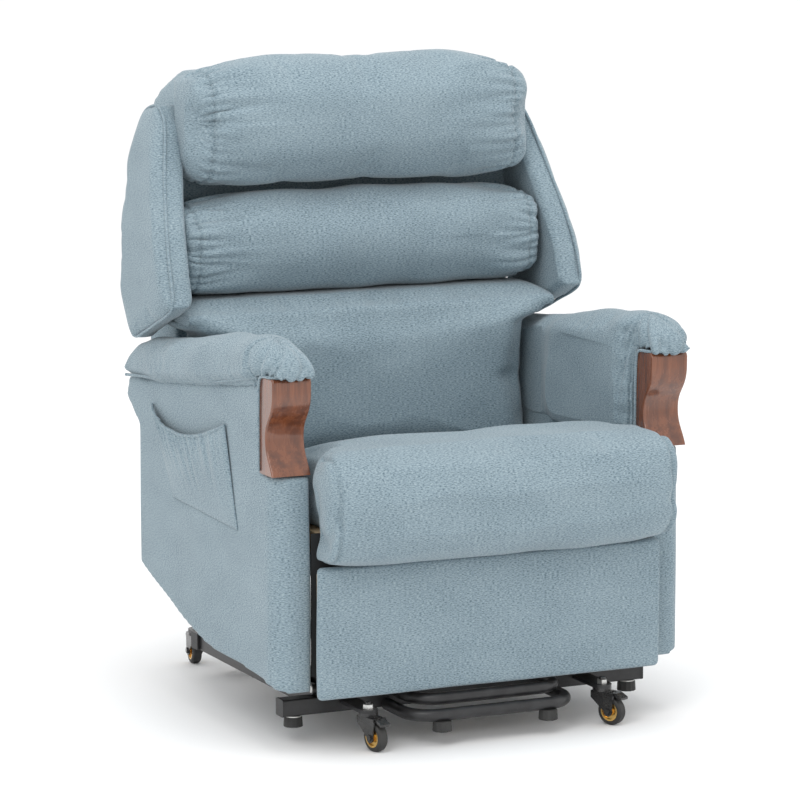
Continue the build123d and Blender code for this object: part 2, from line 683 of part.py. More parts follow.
# ================================================================ backrest
notch_y = 190.0
notch_top = back_cushion_bottom + 48.0
bracket = 6.0
back_tube_radius = 9.0
back_tube = (back_pivot[0] + 47, back_cushion_bottom - 1 - back_tube_radius)
with BuildPart() as back_brackets:
    for s in SIDES:
        with BuildSketch(side(s * bracket_x)):
            outline([at(back_pivot, (0, 16)), (shell_front, notch_top - 4), (shell_front, back_tube[1]),
                     at(back_tube, (0, -back_tube_radius)), at(back_pivot, (0, -16))])
            with Locations(back_pivot):
                Circle(16)
            with Locations(back_pivot):
                Circle(bore, mode=Mode.SUBTRACT)
        extrude(amount=s * bracket)
    pin(back_tube, -bracket_x - bracket, bracket_x + bracket, radius=back_tube_radius)
    with BuildSketch(side(drive_x - crank_plate / 2)):
        bar_between(back_tube, back_crank_pin, 18)
    extrude(amount=crank_plate)
    pin(back_crank_pin, drive_x - crank_plate / 2 - plate_gap - yoke_wall,
        drive_x + crank_plate / 2 + plate_gap + yoke_wall, 5)
keep(back_brackets.part, "back_brackets")


def back_block(front, rear, bottom, top):
    """A block of the back: narrow between the arms, wide above them."""
    slab((-cushion_half, front, bottom), (cushion_half, rear, min(top, back_spread_z)))
    if top > back_spread_z:
        slab((-upper_half_width, front, max(bottom, back_spread_z)), (upper_half_width, rear, top))


with BuildPart() as back_cushion:
    back_block(back_front, shell_front, back_cushion_bottom, back_cushion_top)
    for s in SIDES:
        x_low, x_high = sorted((s * bracket_x, s * (cushion_half + 1)))
        with BuildSketch(side(x_low)):
            with Locations(((notch_y + shell_front) / 2, (back_cushion_bottom + notch_top) / 2)):
                Rectangle(shell_front - notch_y, notch_top - back_cushion_bottom)
        extrude(amount=x_high - x_low, mode=Mode.SUBTRACT)
keep(back_cushion.part, "back_cushion")

shell_top = overall_height - 35
shell_top_half = upper_half_width - 70.0
shell_taper_z = shell_top - 170.0
shell_chamfer = 70.0
with BuildPart() as back_shell:
    with BuildSketch(side(-upper_half_width)) as shell_side:
        outline([(shell_front, back_cushion_bottom), (back_rear - 48, back_cushion_bottom), (back_rear, back_spread_z - 60),
                 (back_rear - 8, shell_top - 150), (back_rear - 35, shell_top - 40), (back_rear - 90, shell_top),
                 (shell_front, shell_top)])
    extrude(amount=2 * upper_half_width)
    with BuildSketch(Plane.XZ.offset(-back_rear - 1)):
        outline([(-cushion_half, 0), (cushion_half, 0), (cushion_half, back_spread_z),
                 (upper_half_width, back_spread_z), (upper_half_width, shell_taper_z),
                 (shell_top_half, shell_top), (-shell_top_half, shell_top),
                 (-upper_half_width, shell_taper_z), (-upper_half_width, back_spread_z),
                 (-cushion_half, back_spread_z)])
    extrude(amount=back_rear - shell_front + 2, mode=Mode.INTERSECT)
    for s in SIDES:
        with BuildSketch(Plane.XY.offset(back_spread_z)):
            outline([(s * upper_half_width, back_rear - shell_chamfer),
                     (s * (upper_half_width - shell_chamfer), back_rear),
                     (s * (upper_half_width + 1), back_rear + 1)])
        extrude(amount=shell_top - back_spread_z, mode=Mode.SUBTRACT)
keep(back_shell.part, "back_shell")

pillow_front = back_front + 28
lumbar_top = back_cushion_top + pillow_gap + lumbar_share * (overall_height - back_cushion_top - 2 * pillow_gap)
for name, half, low, high, front in (
        ("lumbar_pillow", upper_half_width - 2, back_cushion_top + pillow_gap, lumbar_top, pillow_front),
        ("head_pillow", head_half_width, lumbar_top + pillow_gap, overall_height, pillow_front + 4)):
    with BuildPart() as pillow:
        slab((-half, front, low), (half, shell_front, high))
        front_edges = pillow.edges().filter_by(Axis.X).group_by(Axis.Y)[0]
        fillet(front_edges, min(60, 0.4 * (high - low)))
    keep(pillow.part, name)

wing_height = overall_height - wing_drop - wing_bottom
wing_side = [(y, wing_bottom + share * wing_height) for y, share in (
    (86, 84 / 446), (135, 58 / 446), (298, 0), (346, 75 / 446), (352, 204 / 446), (324, 353 / 446),
    (272, 434 / 446), (223, 1), (190, 417 / 446), (140, 256 / 446), (104, 154 / 446))]
for name, s in (("left", -1), ("right", 1)):
    with BuildPart() as wing:
        with BuildSketch(side(s * wing_inner)):
            outline(wing_side)
        extrude(amount=s * (pad_outer - wing_inner))
        fillet(wing.faces().filter_by(Axis.X).edges(), 12)
    keep(wing.part, f"wing_{name}")

# ================================================================ leg rest
link_width = 20.0
with BuildPart() as leg_rear_links:
    for s in SIDES:
        with BuildSketch(side(s * rear_link_x)):
            bar_between(foot_pivot, foot_knee, link_width)
        extrude(amount=s * plate)
        pin(foot_pivot, s * rear_link_x, s * (lug_x + plate))
        pin(foot_knee, s * front_link_x, s * (rear_link_x + plate))
    pin(foot_pivot, -rear_link_x - 1, rear_link_x + 1, radius=tube_radius)
    with BuildSketch(side(-drive_x - crank_plate / 2)):
        bar_between(foot_pivot, foot_crank_pin, 18)
    extrude(amount=crank_plate)
    pin(foot_crank_pin, -drive_x - crank_plate / 2 - plate_gap - yoke_wall,
        -drive_x + crank_plate / 2 + plate_gap + yoke_wall, 5)
keep(leg_rear_links.part, "leg_rear_links")

guide_slack = 0.6
guide_width = 16.0
with BuildPart() as leg_guide_links:
    for s in SIDES:
        with BuildSketch(side(s * guide_x)):
            bar_between(at(foot_pivot, guide_step), at(foot_knee, guide_step), guide_width)
            with Locations(at(foot_pivot, guide_step)):
                Circle(bore, mode=Mode.SUBTRACT)
            with Locations(at(foot_knee, guide_step)):
                Circle(pivot_radius + guide_slack, mode=Mode.SUBTRACT)
        extrude(amount=s * plate)
keep(leg_guide_links.part, "leg_guide_links")

board_bracket = 6.0
with BuildPart() as leg_front_links:
    for s in SIDES:
        with BuildSketch(side(s * front_link_x)):
            bar_between(foot_knee, board_pivot, link_width)
            bar_between(foot_knee, at(foot_knee, guide_step), link_width)
            with Locations(foot_knee):
                Circle(bore, mode=Mode.SUBTRACT)
        extrude(amount=s * plate)
        pin(at(foot_knee, guide_step), s * guide_x, s * (front_link_x + plate))
        pin(board_pivot, s * front_link_x, s * (rear_link_x + board_bracket))
keep(leg_front_links.part, "leg_front_links")

with BuildPart() as leg_rest_panel:
    slab((-leg_rest_half_width + 6, board_rear - leg_rest_board, skirt_z + 4),
         (leg_rest_half_width - 6, board_rear, leg_rest_top - 4))
    for s in SIDES:
        with BuildSketch(side(s * rear_link_x)):
            outline([(board_rear - 2, board_pivot[1] + 20), at(board_pivot, (4, 11)), at(board_pivot, (4, -11)),
                     (board_rear - 2, board_pivot[1] - 60)])
            with Locations(board_pivot):
                Circle(11)
            with Locations(board_pivot):
                Circle(bore, mode=Mode.SUBTRACT)
        extrude(amount=s * board_bracket)
keep(leg_rest_panel.part, "leg_rest_panel")

with BuildPart() as leg_rest_cushion:
    slab((-leg_rest_half_width, board_face, skirt_z),
         (leg_rest_half_width, board_rear - leg_rest_board, leg_rest_top))
    fillet(leg_rest_cushion.edges().filter_by(Axis.X).group_by(Axis.Y)[0], 8)
    fillet(leg_rest_cushion.edges().filter_by(Axis.Z).group_by(Axis.Y)[0], 6)
keep(leg_rest_cushion.part, "leg_rest_cushion")
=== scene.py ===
"""Lift recliner chair: the looks of its upholstery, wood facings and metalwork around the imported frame.

Units are metres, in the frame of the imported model: +Z up, the chair faces -Y, X = 0 is its middle and
Z = 0 is the floor.
"""
import json
import math

import bpy
import numpy as np
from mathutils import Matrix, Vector


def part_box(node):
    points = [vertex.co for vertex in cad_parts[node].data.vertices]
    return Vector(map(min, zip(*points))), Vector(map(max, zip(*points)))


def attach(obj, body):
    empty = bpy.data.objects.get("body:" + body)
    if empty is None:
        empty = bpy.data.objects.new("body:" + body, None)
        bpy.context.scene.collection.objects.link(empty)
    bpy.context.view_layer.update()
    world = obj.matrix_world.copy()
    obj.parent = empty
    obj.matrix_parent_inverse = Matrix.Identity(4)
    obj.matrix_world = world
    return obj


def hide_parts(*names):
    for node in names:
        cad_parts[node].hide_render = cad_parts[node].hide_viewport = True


bl_info = {
    "name": "Lift recliner chair",
    "version": (1, 0, 0),
    "blender": (4, 5, 0),
    "location": "View3D > Sidebar > Chair",
    "description": "Upholsters and finishes a lift recliner chair around its frame",
    "category": "Object",
}

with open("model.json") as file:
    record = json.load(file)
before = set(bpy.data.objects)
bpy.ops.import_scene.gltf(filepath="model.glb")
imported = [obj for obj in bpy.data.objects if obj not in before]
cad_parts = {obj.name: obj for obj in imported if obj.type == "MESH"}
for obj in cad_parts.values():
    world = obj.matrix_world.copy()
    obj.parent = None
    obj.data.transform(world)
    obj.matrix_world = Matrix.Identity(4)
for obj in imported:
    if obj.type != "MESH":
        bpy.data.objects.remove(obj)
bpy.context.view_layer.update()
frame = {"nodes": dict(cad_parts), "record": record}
SIDES = (("left", -1), ("right", 1))


# ================================================================ settings
class FabricSettings(bpy.types.PropertyGroup):
    """The woven cover."""
    light: bpy.props.FloatVectorProperty(
        name="Light yarn", description="Colour of the palest yarn", subtype="COLOR",
        default=(0.395, 0.475, 0.512), min=0, max=1)
    middle: bpy.props.FloatVectorProperty(
        name="Middle yarn", description="Colour that most of the cloth has", subtype="COLOR",
        default=(0.262, 0.338, 0.380), min=0, max=1)
    dark: bpy.props.FloatVectorProperty(
        name="Dark yarn", description="Colour of the darkest yarn", subtype="COLOR",
        default=(0.098, 0.150, 0.184), min=0, max=1)
    row: bpy.props.FloatProperty(
        name="Row pitch", description="Distance between two rows of yarn", default=0.0009, unit="LENGTH")
    slub: bpy.props.FloatProperty(
        name="Slub length", description="Length of a thick stretch of yarn", default=0.0030, unit="LENGTH")


class WoodSettings(bpy.types.PropertyGroup):
    """The stained facings on the arm fronts."""
    light: bpy.props.FloatVectorProperty(
        name="Light grain", description="Colour of the open grain", subtype="COLOR",
        default=(0.200, 0.062, 0.022), min=0, max=1)
    dark: bpy.props.FloatVectorProperty(
        name="Dark grain", description="Colour of the dense grain", subtype="COLOR",
        default=(0.082, 0.022, 0.008), min=0, max=1)
    gloss: bpy.props.FloatProperty(
        name="Lacquer", description="Weight of the clear lacquer", default=0.8, min=0, max=1,
        subtype="FACTOR")


class PaddingSettings(bpy.types.PropertyGroup):
    """How the filling swells the covers."""
    pressure: bpy.props.FloatProperty(
        name="Pressure", description="Pressure of the filling on a cover", default=4.0)
    swell: bpy.props.FloatProperty(
        name="Swell", description="Furthest that a cover may move outwards", default=0.024, unit="LENGTH")
    frames: bpy.props.IntProperty(
        name="Frames", description="Steps in which a cover is filled", default=20, min=1)
    welt: bpy.props.FloatProperty(
        name="Welt", description="Radius of the corded edge", default=0.0028, unit="LENGTH")


class StageSettings(bpy.types.PropertyGroup):
    """Floor, lights and camera."""
    azimuth: bpy.props.FloatProperty(
        name="Azimuth", description="Where the camera stands, from straight in front", unit="ROTATION",
        default=math.radians(-25))
    elevation: bpy.props.FloatProperty(
        name="Elevation", description="How far the camera looks down", unit="ROTATION",
        default=math.radians(9))
    distance: bpy.props.FloatProperty(
        name="Distance", description="From the camera to the point it looks at", default=7.202,
        unit="LENGTH")
    target: bpy.props.FloatVectorProperty(
        name="Target", description="The point that the camera looks at", subtype="XYZ",
        default=(-0.0187, -0.0213, 0.5505))
    lens: bpy.props.FloatProperty(name="Lens", description="Focal length in millimetres", default=180.0)
    floor: bpy.props.FloatVectorProperty(
        name="Floor", description="Colour of the floor", subtype="COLOR", default=(0.93, 0.93, 0.93),
        min=0, max=1)


class ChairSettings(bpy.types.PropertyGroup):
    """All that a user would change."""
    fabric: bpy.props.PointerProperty(type=FabricSettings)
    wood: bpy.props.PointerProperty(type=WoodSettings)
    padding: bpy.props.PointerProperty(type=PaddingSettings)
    stage: bpy.props.PointerProperty(type=StageSettings)


def settings():
    return bpy.context.scene.chair


# ================================================================ shader maths
class Socket:
    """An output socket that takes part in arithmetic."""

    def __init__(self, shader, output):
        self.shader, self.output = shader, output

    def maths(self, operation, *values):
        return self.shader.node("ShaderNodeMath", {"operation": operation}, dict(enumerate(values)))[0]

    def __add__(self, other):
        return self.maths("ADD", self, other)

    def __sub__(self, other):
        return self.maths("SUBTRACT", self, other)

    def __mul__(self, other):
        return self.maths("MULTIPLY", self, other)

    def __rsub__(self, other):
        return self.maths("SUBTRACT", other, self)

    __radd__ = __add__
    __rmul__ = __mul__

    def sine(self):
        return self.maths("SINE", self)

    def between(self, low, high):
        """0 below low, 1 above high, and smooth from one to the other."""
        return self.shader.node("ShaderNodeMapRange", {"interpolation_type": "SMOOTHSTEP"},
                                {"Value": self, "From Min": low, "From Max": high})[0]


class Shader:
    """A material under construction."""

    def __init__(self, name):
        self.material = bpy.data.materials.new(name)
        self.material.use_nodes = True
        self.tree = self.material.node_tree
        self.surface = self.tree.nodes["Principled BSDF"]

    def node(self, kind, settings=None, values=None):
        """Any node: its settings first, then the values or links of its inputs. Gives its outputs."""
        made = self.tree.nodes.new(kind)
        for key, value in (settings or {}).items():
            setattr(made, key, value)
        self.join(made, values or {})
        return [Socket(self, output) for output in made.outputs]

    def join(self, node, values):
        for key, value in values.items():
            if isinstance(value, Socket):
                self.tree.links.new(value.output, node.inputs[key])
            else:
                node.inputs[key].default_value = value

    def finish(self, **values):
        """Values and links of the surface shader, with _ for a space."""
        self.join(self.surface, {key.replace("_", " "): value for key, value in values.items()})
        return self.material

    def place(self):
        return self.node("ShaderNodeTexCoord")[3]

    def stretched(self, vector, scale):
        return self.node("ShaderNodeMapping", {}, {"Vector": vector, "Scale": scale})[0]

    def noise(self, vector, scale, detail=2.0, roughness=0.5):
        return self.node("ShaderNodeTexNoise", {}, {
            "Vector": vector, "Scale": scale, "Detail": detail, "Roughness": roughness})[0]

    def mix(self, factor, first, second):
        """A colour between two colours."""
        return self.node("ShaderNodeMix", {"data_type": "RGBA"}, {0: factor, 6: first, 7: second})[2]

    def bump(self, height, distance, strength=1.0):
        return self.node("ShaderNodeBump", {}, {
            "Height": height, "Distance": distance, "Strength": strength})[0]


def opaque(colour):
    return (*colour, 1.0)


# ================================================================ materials
def make_fabric():
    """Chenille: slubby yarns of three shades in horizontal rows."""
    look, shader = settings().fabric, Shader("woven_chenille")
    cloth = shader.node("ShaderNodeUVMap", {"uv_map": "cloth"})[0]
    along, across = shader.node("ShaderNodeSeparateXYZ", {}, {0: cloth})[:2]
    slubs = shader.noise(shader.stretched(cloth, (1 / look.slub, 1 / look.row, 1)), 0.62, 2.0, 0.62)
    fuzz = shader.noise(cloth, 900.0, 2.0, 0.6)
    cloud = shader.noise(shader.stretched(cloth, (7.0, 13.0, 1)), 1.0, 3.0)
    wander = shader.noise(shader.stretched(cloth, (60.0, 60.0, 1)), 1.0, 1.0)
    rows = (across * (2 * math.pi / (look.row * 1.6)) + wander * 3.0).sine() * 0.5 + 0.5
    stitches = (along * (2 * math.pi / (look.row * 1.15)) + rows * 2.0).sine() * 0.5 + 0.5
    tone = slubs + (fuzz - 0.5) * 0.24 + (cloud - 0.5) * 0.14
    colour = shader.mix(tone.between(0.33, 0.53), opaque(look.dark), opaque(look.middle))
    colour = shader.mix(tone.between(0.53, 0.74), colour, opaque(look.light))
    # painted shade: the colour is darkened towards the dark yarn in the troughs between rows, where the bump
    # is lowest
    shade = shader.mix((1 - rows) * 0.20, colour, opaque(look.dark))
    height = rows * 0.45 + stitches * 0.2 + slubs * 0.6 + fuzz * 0.25
    return shader.finish(
        Base_Color=shade, Roughness=(0.95 - slubs * 0.12), Normal=shader.bump(height, 0.0007, 0.5),
        Sheen_Weight=0.22, Sheen_Roughness=0.45, Specular_IOR_Level=0.18)


def make_wood():
    """Mahogany stain under lacquer, with the grain running up the facing."""
    look, shader = settings().wood, Shader("mahogany_facing")
    place = shader.place()
    bend = shader.noise(shader.stretched(place, (9.0, 9.0, 2.2)), 1.0, 2.0)
    grain = shader.noise(shader.stretched(place, (95.0, 130.0, 7.0)), 1.0, 4.0, 0.6)
    height = shader.node("ShaderNodeSeparateXYZ", {}, {0: place})
    rings = (height[0] * 150.0 + height[1] * 110.0 + bend * 16.0).sine() * 0.5 + 0.5
    pores = shader.noise(shader.stretched(place, (900.0, 900.0, 45.0)), 1.0, 2.0)
    tone = rings * 0.12 + grain * 0.88
    colour = shader.mix(tone.between(0.22, 0.72), opaque(look.dark), opaque(look.light))
    colour = shader.mix(pores.between(0.60, 0.78) * 0.22, colour, opaque(look.dark))
    return shader.finish(
        Base_Color=colour, Roughness=0.22 + grain * 0.10, Coat_Weight=look.gloss, Coat_Roughness=0.06,
        Normal=shader.bump(grain + pores * 0.5, 0.0004, 0.25))


def make_ply():
    """Raw plywood of the seat frame and the leg rest board."""
    shader = Shader("birch_ply")
    place = shader.place()
    grain = shader.noise(shader.stretched(place, (6.0, 160.0, 160.0)), 1.0, 3.0)
    plies = (shader.node("ShaderNodeSeparateXYZ", {}, {0: place})[2] * (2 * math.pi / 0.003)).sine()
    colour = shader.mix(grain.between(0.3, 0.7), (0.50, 0.35, 0.20, 1), (0.66, 0.50, 0.32, 1))
    colour = shader.mix(plies.between(0.2, 0.9) * 0.25, colour, (0.30, 0.19, 0.10, 1))
    return shader.finish(Base_Color=colour, Roughness=0.62 + grain * 0.15,
                         Normal=shader.bump(grain, 0.0006, 0.3))


def make_hard(name, colour, worn, metallic, roughness, grain, bump, coat=0.0):
    """Metal, paint, plastic or rubber: a mottled tone, scuffs, and a surface grain of the given scale."""
    shader = Shader(name)
    place = shader.place()
    mottle = shader.noise(place, 38.0, 3.0)
    fine = shader.noise(place, grain, 2.0, 0.6)
    scuffs = shader.noise(shader.stretched(place, (220.0, 60.0, 320.0)), 1.0, 2.0).between(0.60, 0.74)
    tone = shader.mix(mottle.between(0.3, 0.7) * 0.5 + scuffs * 0.35, opaque(colour), opaque(worn))
    return shader.finish(
        Base_Color=tone, Metallic=metallic, Roughness=(mottle - 0.5) * 0.16 + scuffs * 0.12 + roughness,
        Normal=shader.bump(fine, bump, 0.4), Coat_Weight=coat, Coat_Roughness=0.2)


def make_finishes():
    """Every material, by the slot of the record that it belongs to."""
    return {
        "upholstery": make_fabric(),
        "facing_wood": make_wood(),
        "inner_wood": make_ply(),
        "frame": make_hard("satin_black_coat", (0.012, 0.012, 0.013), (0.035, 0.035, 0.037), 0.0,
                           0.36, 1500.0, 0.0002),
        "black_plastic": make_hard("grained_plastic", (0.016, 0.016, 0.017), (0.04, 0.04, 0.042), 0.0,
                                   0.5, 1900.0, 0.0004),
        "foot_rubber": make_hard("foot_rubber", (0.018, 0.018, 0.018), (0.05, 0.05, 0.048), 0.0,
                                 0.72, 900.0, 0.0004),
        "zinc": make_hard("bright_zinc", (0.62, 0.62, 0.60), (0.42, 0.42, 0.41), 1.0, 0.30, 700.0, 0.0001),
        "castor_steel": make_hard("castor_enamel", (0.010, 0.010, 0.011), (0.045, 0.043, 0.04), 0.0,
                                  0.26, 800.0, 0.0001, coat=0.3),
        "tyre": make_hard("castor_tyre", (0.014, 0.014, 0.014), (0.05, 0.048, 0.045), 0.0,
                          0.58, 1200.0, 0.0003),
        "brass": make_hard("brass_plate", (0.78, 0.50, 0.16), (0.46, 0.28, 0.09), 1.0, 0.27, 600.0, 0.0001),
        "spring_steel": make_hard("spring_steel", (0.42, 0.42, 0.43), (0.20, 0.20, 0.21), 1.0,
                                  0.38, 700.0, 0.0001),
    }


# ================================================================ mesh helpers
def deselect():
    """Nothing is selected, in object mode."""
    if bpy.context.object is not None and bpy.context.object.mode != "OBJECT":
        bpy.ops.object.mode_set(mode="OBJECT")
    bpy.ops.object.select_all(action="DESELECT")


def take(*objects):
    """Only these objects are selected, and the first is active."""
    deselect()
    for obj in objects:
        obj.select_set(True)
    bpy.context.view_layer.objects.active = objects[0]


def edited(obj, *steps):
    """Run mesh operators in edit mode, each on the whole mesh."""
    take(obj)
    bpy.ops.object.mode_set(mode="EDIT")
    bpy.ops.mesh.select_all(action="SELECT")
    for operator, values in steps:
        operator(**values)
    bpy.ops.object.mode_set(mode="OBJECT")
    return obj


def finish_with(obj, kind, **values):
    """Add a modifier, set it and apply it."""
    take(obj)
    modifier = obj.modifiers.new(kind.title(), kind)
    for key, value in values.items():
        setattr(modifier, key, value)
    bpy.ops.object.modifier_apply(modifier=modifier.name)


def points(mesh):
    """The places of a mesh's points, one row each."""
    flat = np.empty(len(mesh.vertices) * 3, np.float32)
    mesh.vertices.foreach_get("co", flat)
    return flat.reshape(-1, 3).astype(float)


def put(obj, places):
    obj.data.vertices.foreach_set("co", places.astype(np.float32).ravel())
    obj.data.update()


def directions(obj):
    """The outward direction at each point."""
    flat = np.empty(len(obj.data.vertices) * 3, np.float32)
    obj.data.vertex_normals.foreach_get("vector", flat)
    return flat.reshape(-1, 3).astype(float)


def ramp(values, low, high):
    """0 at low, 1 at high, and smooth between them, either way round."""
    t = np.clip((values - low) / (high - low), 0, 1)
    return t * t * (3 - 2 * t)


def bell(values, centre, width):
    return np.exp(-((values - centre) / width) ** 2)


def copy_of(node, name):
    """A new object with a joined-up copy of a frame node's mesh."""
    obj = bpy.data.objects.new(name, frame["nodes"][node].data.copy())
    bpy.context.scene.collection.objects.link(obj)
    obj.data.materials.clear()
    return edited(obj, (bpy.ops.mesh.remove_doubles, {"threshold": 1e-5}),
                  (bpy.ops.mesh.normals_make_consistent, {"inside": False}))


def block(name, low, high):
    """A box between two corners, its place in its mesh."""
    deselect()
    size = [b - a for a, b in zip(low, high)]
    bpy.ops.mesh.primitive_cube_add(size=1, location=[(a + b) / 2 for a, b in zip(low, high)], scale=size)
    obj = bpy.context.object
    obj.name = name
    bpy.ops.object.transform_apply(location=True, rotation=True, scale=True)
    return obj


def remeshed(obj, voxel, inset=0.0, rounding=0):
    """An even mesh of the same shape, drawn in by inset on every side and rounded."""
    if inset:
        places = points(obj.data)
        low, high = places.min(0), places.max(0)
        middle, half = (low + high) / 2, (high - low) / 2
        put(obj, middle + (places - middle) * (half - inset) / half)
    finish_with(obj, "REMESH", mode="VOXEL", voxel_size=voxel, use_smooth_shade=True)
    if rounding:
        finish_with(obj, "SMOOTH", factor=0.5, iterations=rounding)
    return obj


def filled(obj, cap, pressure=None):
    """Blow a closed cover up with cloth simulation, no point further than cap."""
    padding, scene = settings().padding, bpy.context.scene
    start = points(obj.data)
    cloth = obj.modifiers.new("Cloth", "CLOTH")
    cloth.settings.quality = 4
    cloth.settings.mass = 0.25
    cloth.settings.tension_stiffness = 12
    cloth.settings.compression_stiffness = 12
    cloth.settings.shear_stiffness = 5
    cloth.settings.bending_stiffness = 0.8
    cloth.settings.use_pressure = True
    cloth.settings.uniform_pressure_force = padding.pressure if pressure is None else pressure
    cloth.settings.effector_weights.gravity = 0
    cloth.collision_settings.use_collision = False
    cloth.point_cache.frame_start, cloth.point_cache.frame_end = 1, padding.frames
    for number in range(1, padding.frames + 1):
        scene.frame_set(number)
    swollen = points(obj.evaluated_get(bpy.context.evaluated_depsgraph_get()).data)
    obj.modifiers.remove(cloth)
    scene.frame_set(1)
    step = swollen - start
    reach = np.maximum(np.linalg.norm(step, axis=1, keepdims=True), 1e-9)
    put(obj, start + step * (cap * np.tanh(reach / cap) / reach))
    return obj


def relaxed(obj, iterations=3, levels=1):
    """Even out the mesh and subdivide it."""
    if iterations:
        finish_with(obj, "SMOOTH", factor=0.5, iterations=iterations)
    if levels:
        finish_with(obj, "SUBSURF", levels=levels, render_levels=levels)
    return obj


def pushed(obj, amount):
    """Move every point along its outward direction by its own amount."""
    put(obj, points(obj.data) + directions(obj) * amount[:, None])
    return obj


def held_in(obj, low, high):
    """Keep a piece between two corners; None leaves a side free."""
    places = points(obj.data)
    for axis in range(3):
        floor = -np.inf if low[axis] is None else low[axis]
        roof = np.inf if high[axis] is None else high[axis]
        places[:, axis] = np.clip(places[:, axis], floor, roof)
    put(obj, places)
    return obj


def gathers(along, away, seed, pitch, depth, length, lean=0.25):
    """Depths of folds that start side by side on a seam and die away from it.

    along is the place on the seam, and away is the distance from it."""
    draw = np.random.RandomState(seed)
    total = np.zeros(len(along))
    start, end = along.min() - pitch, along.max() + pitch
    place = start
    while place < end:
        place += pitch * draw.uniform(0.65, 1.35)
        reach = length * draw.uniform(0.45, 1.5)
        width = pitch * draw.uniform(0.20, 0.34)
        tilt = lean * draw.uniform(-1, 1)
        spread = width * (1 + np.clip(away, 0, None) / reach * 0.8)
        fold = bell(along, place + tilt * away, spread)
        total -= depth * draw.uniform(0.5, 1.3) * fold * np.exp(-(np.clip(away, 0, None) / reach) ** 2)
    return total + depth * 0.35 * np.exp(-(np.clip(away, 0, None) / length) ** 2)


def rumple(obj, seed, size, depth):
    """Slow uneven swells, as in cloth over wadding."""
    draw, places, total = np.random.RandomState(seed), points(obj.data), 0
    for _ in range(9):
        direction = draw.normal(size=3)
        direction /= np.linalg.norm(direction)
        total = total + np.sin(places @ direction * (2 * math.pi / (size * draw.uniform(0.7, 1.6)))
                               + draw.uniform(0, 2 * math.pi))
    return pushed(obj, total * depth / 3)


def lay_cloth(obj, grain="x"):
    """UV in metres, laid on flat from the side that a face looks to, with rows along the grain."""
    mesh = obj.data
    layer = mesh.uv_layers.get("cloth") or mesh.uv_layers.new(name="cloth")
    corner = np.empty(len(mesh.loops), np.int32)
    mesh.loops.foreach_get("vertex_index", corner)
    facing = np.empty(len(mesh.polygons) * 3, np.float32)
    mesh.polygons.foreach_get("normal", facing)
    count = np.empty(len(mesh.polygons), np.int32)
    mesh.polygons.foreach_get("loop_total", count)
    facing = np.abs(np.repeat(facing.reshape(-1, 3), count, axis=0))
    place = points(mesh)[corner]
    x, y, z = place.T
    side = (facing[:, 0] > facing[:, 1]) & (facing[:, 0] > facing[:, 2])
    top = (facing[:, 2] >= facing[:, 1]) & ~side
    flat = (x, y) if grain == "x" else (y, x)
    u = np.where(side, y, np.where(top, flat[0], x))
    v = np.where(side, z, np.where(top, flat[1], z))
    layer.data.foreach_set("uv", np.stack([u, v], 1).astype(np.float32).ravel())
    mesh.uv_layers.active = layer


def mirrored(obj, name):
    """A copy on the other side of the chair, with its own mesh."""
    twin = obj.copy()
    twin.data = obj.data.copy()
    twin.name = name
    bpy.context.scene.collection.objects.link(twin)
    places = points(twin.data)
    places[:, 0] *= -1
    put(twin, places)
    return edited(twin, (bpy.ops.mesh.flip_normals, {}))


def cover(obj, body, *nodes, grain="x", fill=0.7, padded=True):
    """Give a soft piece its cloth and its body, and hide the frame nodes that it stands for."""
    lay_cloth(obj, grain)
    obj.data.materials.clear()
    obj.data.materials.append(bpy.data.materials["woven_chenille"])
    take(obj)
    bpy.ops.object.shade_smooth()
    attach(obj, body)
    if nodes:
        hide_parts(*nodes)
    return obj


def finished(obj, body, material, smooth_angle=math.radians(35)):
    """Give a hard piece its finish and its body."""
    obj.data.materials.clear()
    obj.data.materials.append(bpy.data.materials[material])
    take(obj)
    bpy.ops.object.shade_smooth_by_angle(angle=smooth_angle)
    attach(obj, body)
    return obj


def corded(name, route, radius, closed=False):
    """A round cord through points, as a mesh."""
    curve = bpy.data.curves.new(name, "CURVE")
    curve.dimensions, curve.bevel_depth, curve.bevel_resolution = "3D", radius, 2
    curve.resolution_u = 3
    curve.use_fill_caps = True
    spline = curve.splines.new("NURBS")
    spline.points.add(len(route) - 1)
    for point, place in zip(spline.points, route):
        point.co = (*place, 1.0)
    spline.order_u = 4
    spline.use_cyclic_u = closed
    spline.use_endpoint_u = not closed
    obj = bpy.data.objects.new(name, curve)
    bpy.context.scene.collection.objects.link(obj)
    take(obj)
    bpy.ops.object.convert(target="MESH")
    return bpy.context.object


def rim(obj, x, centre, band, count):
    """A ring of points round a piece at one x, each the furthest from a (y, z) centre near its angle."""
    places = points(obj.data)
    near = places[np.abs(places[:, 0] - x) < band]
    offset = near[:, 1:] - np.array(centre)
    angle, reach = np.arctan2(offset[:, 1], offset[:, 0]), np.hypot(*offset.T)
    ring = []
    for number in range(count):
        middle = -math.pi + (number + 0.5) * 2 * math.pi / count
        chosen = np.abs(angle - middle) < math.pi / count * 0.4
        if chosen.any():
            radius = reach[chosen].max()
            ring.append((x, centre[0] + radius * math.cos(middle), centre[1] + radius * math.sin(middle)))
    return ring


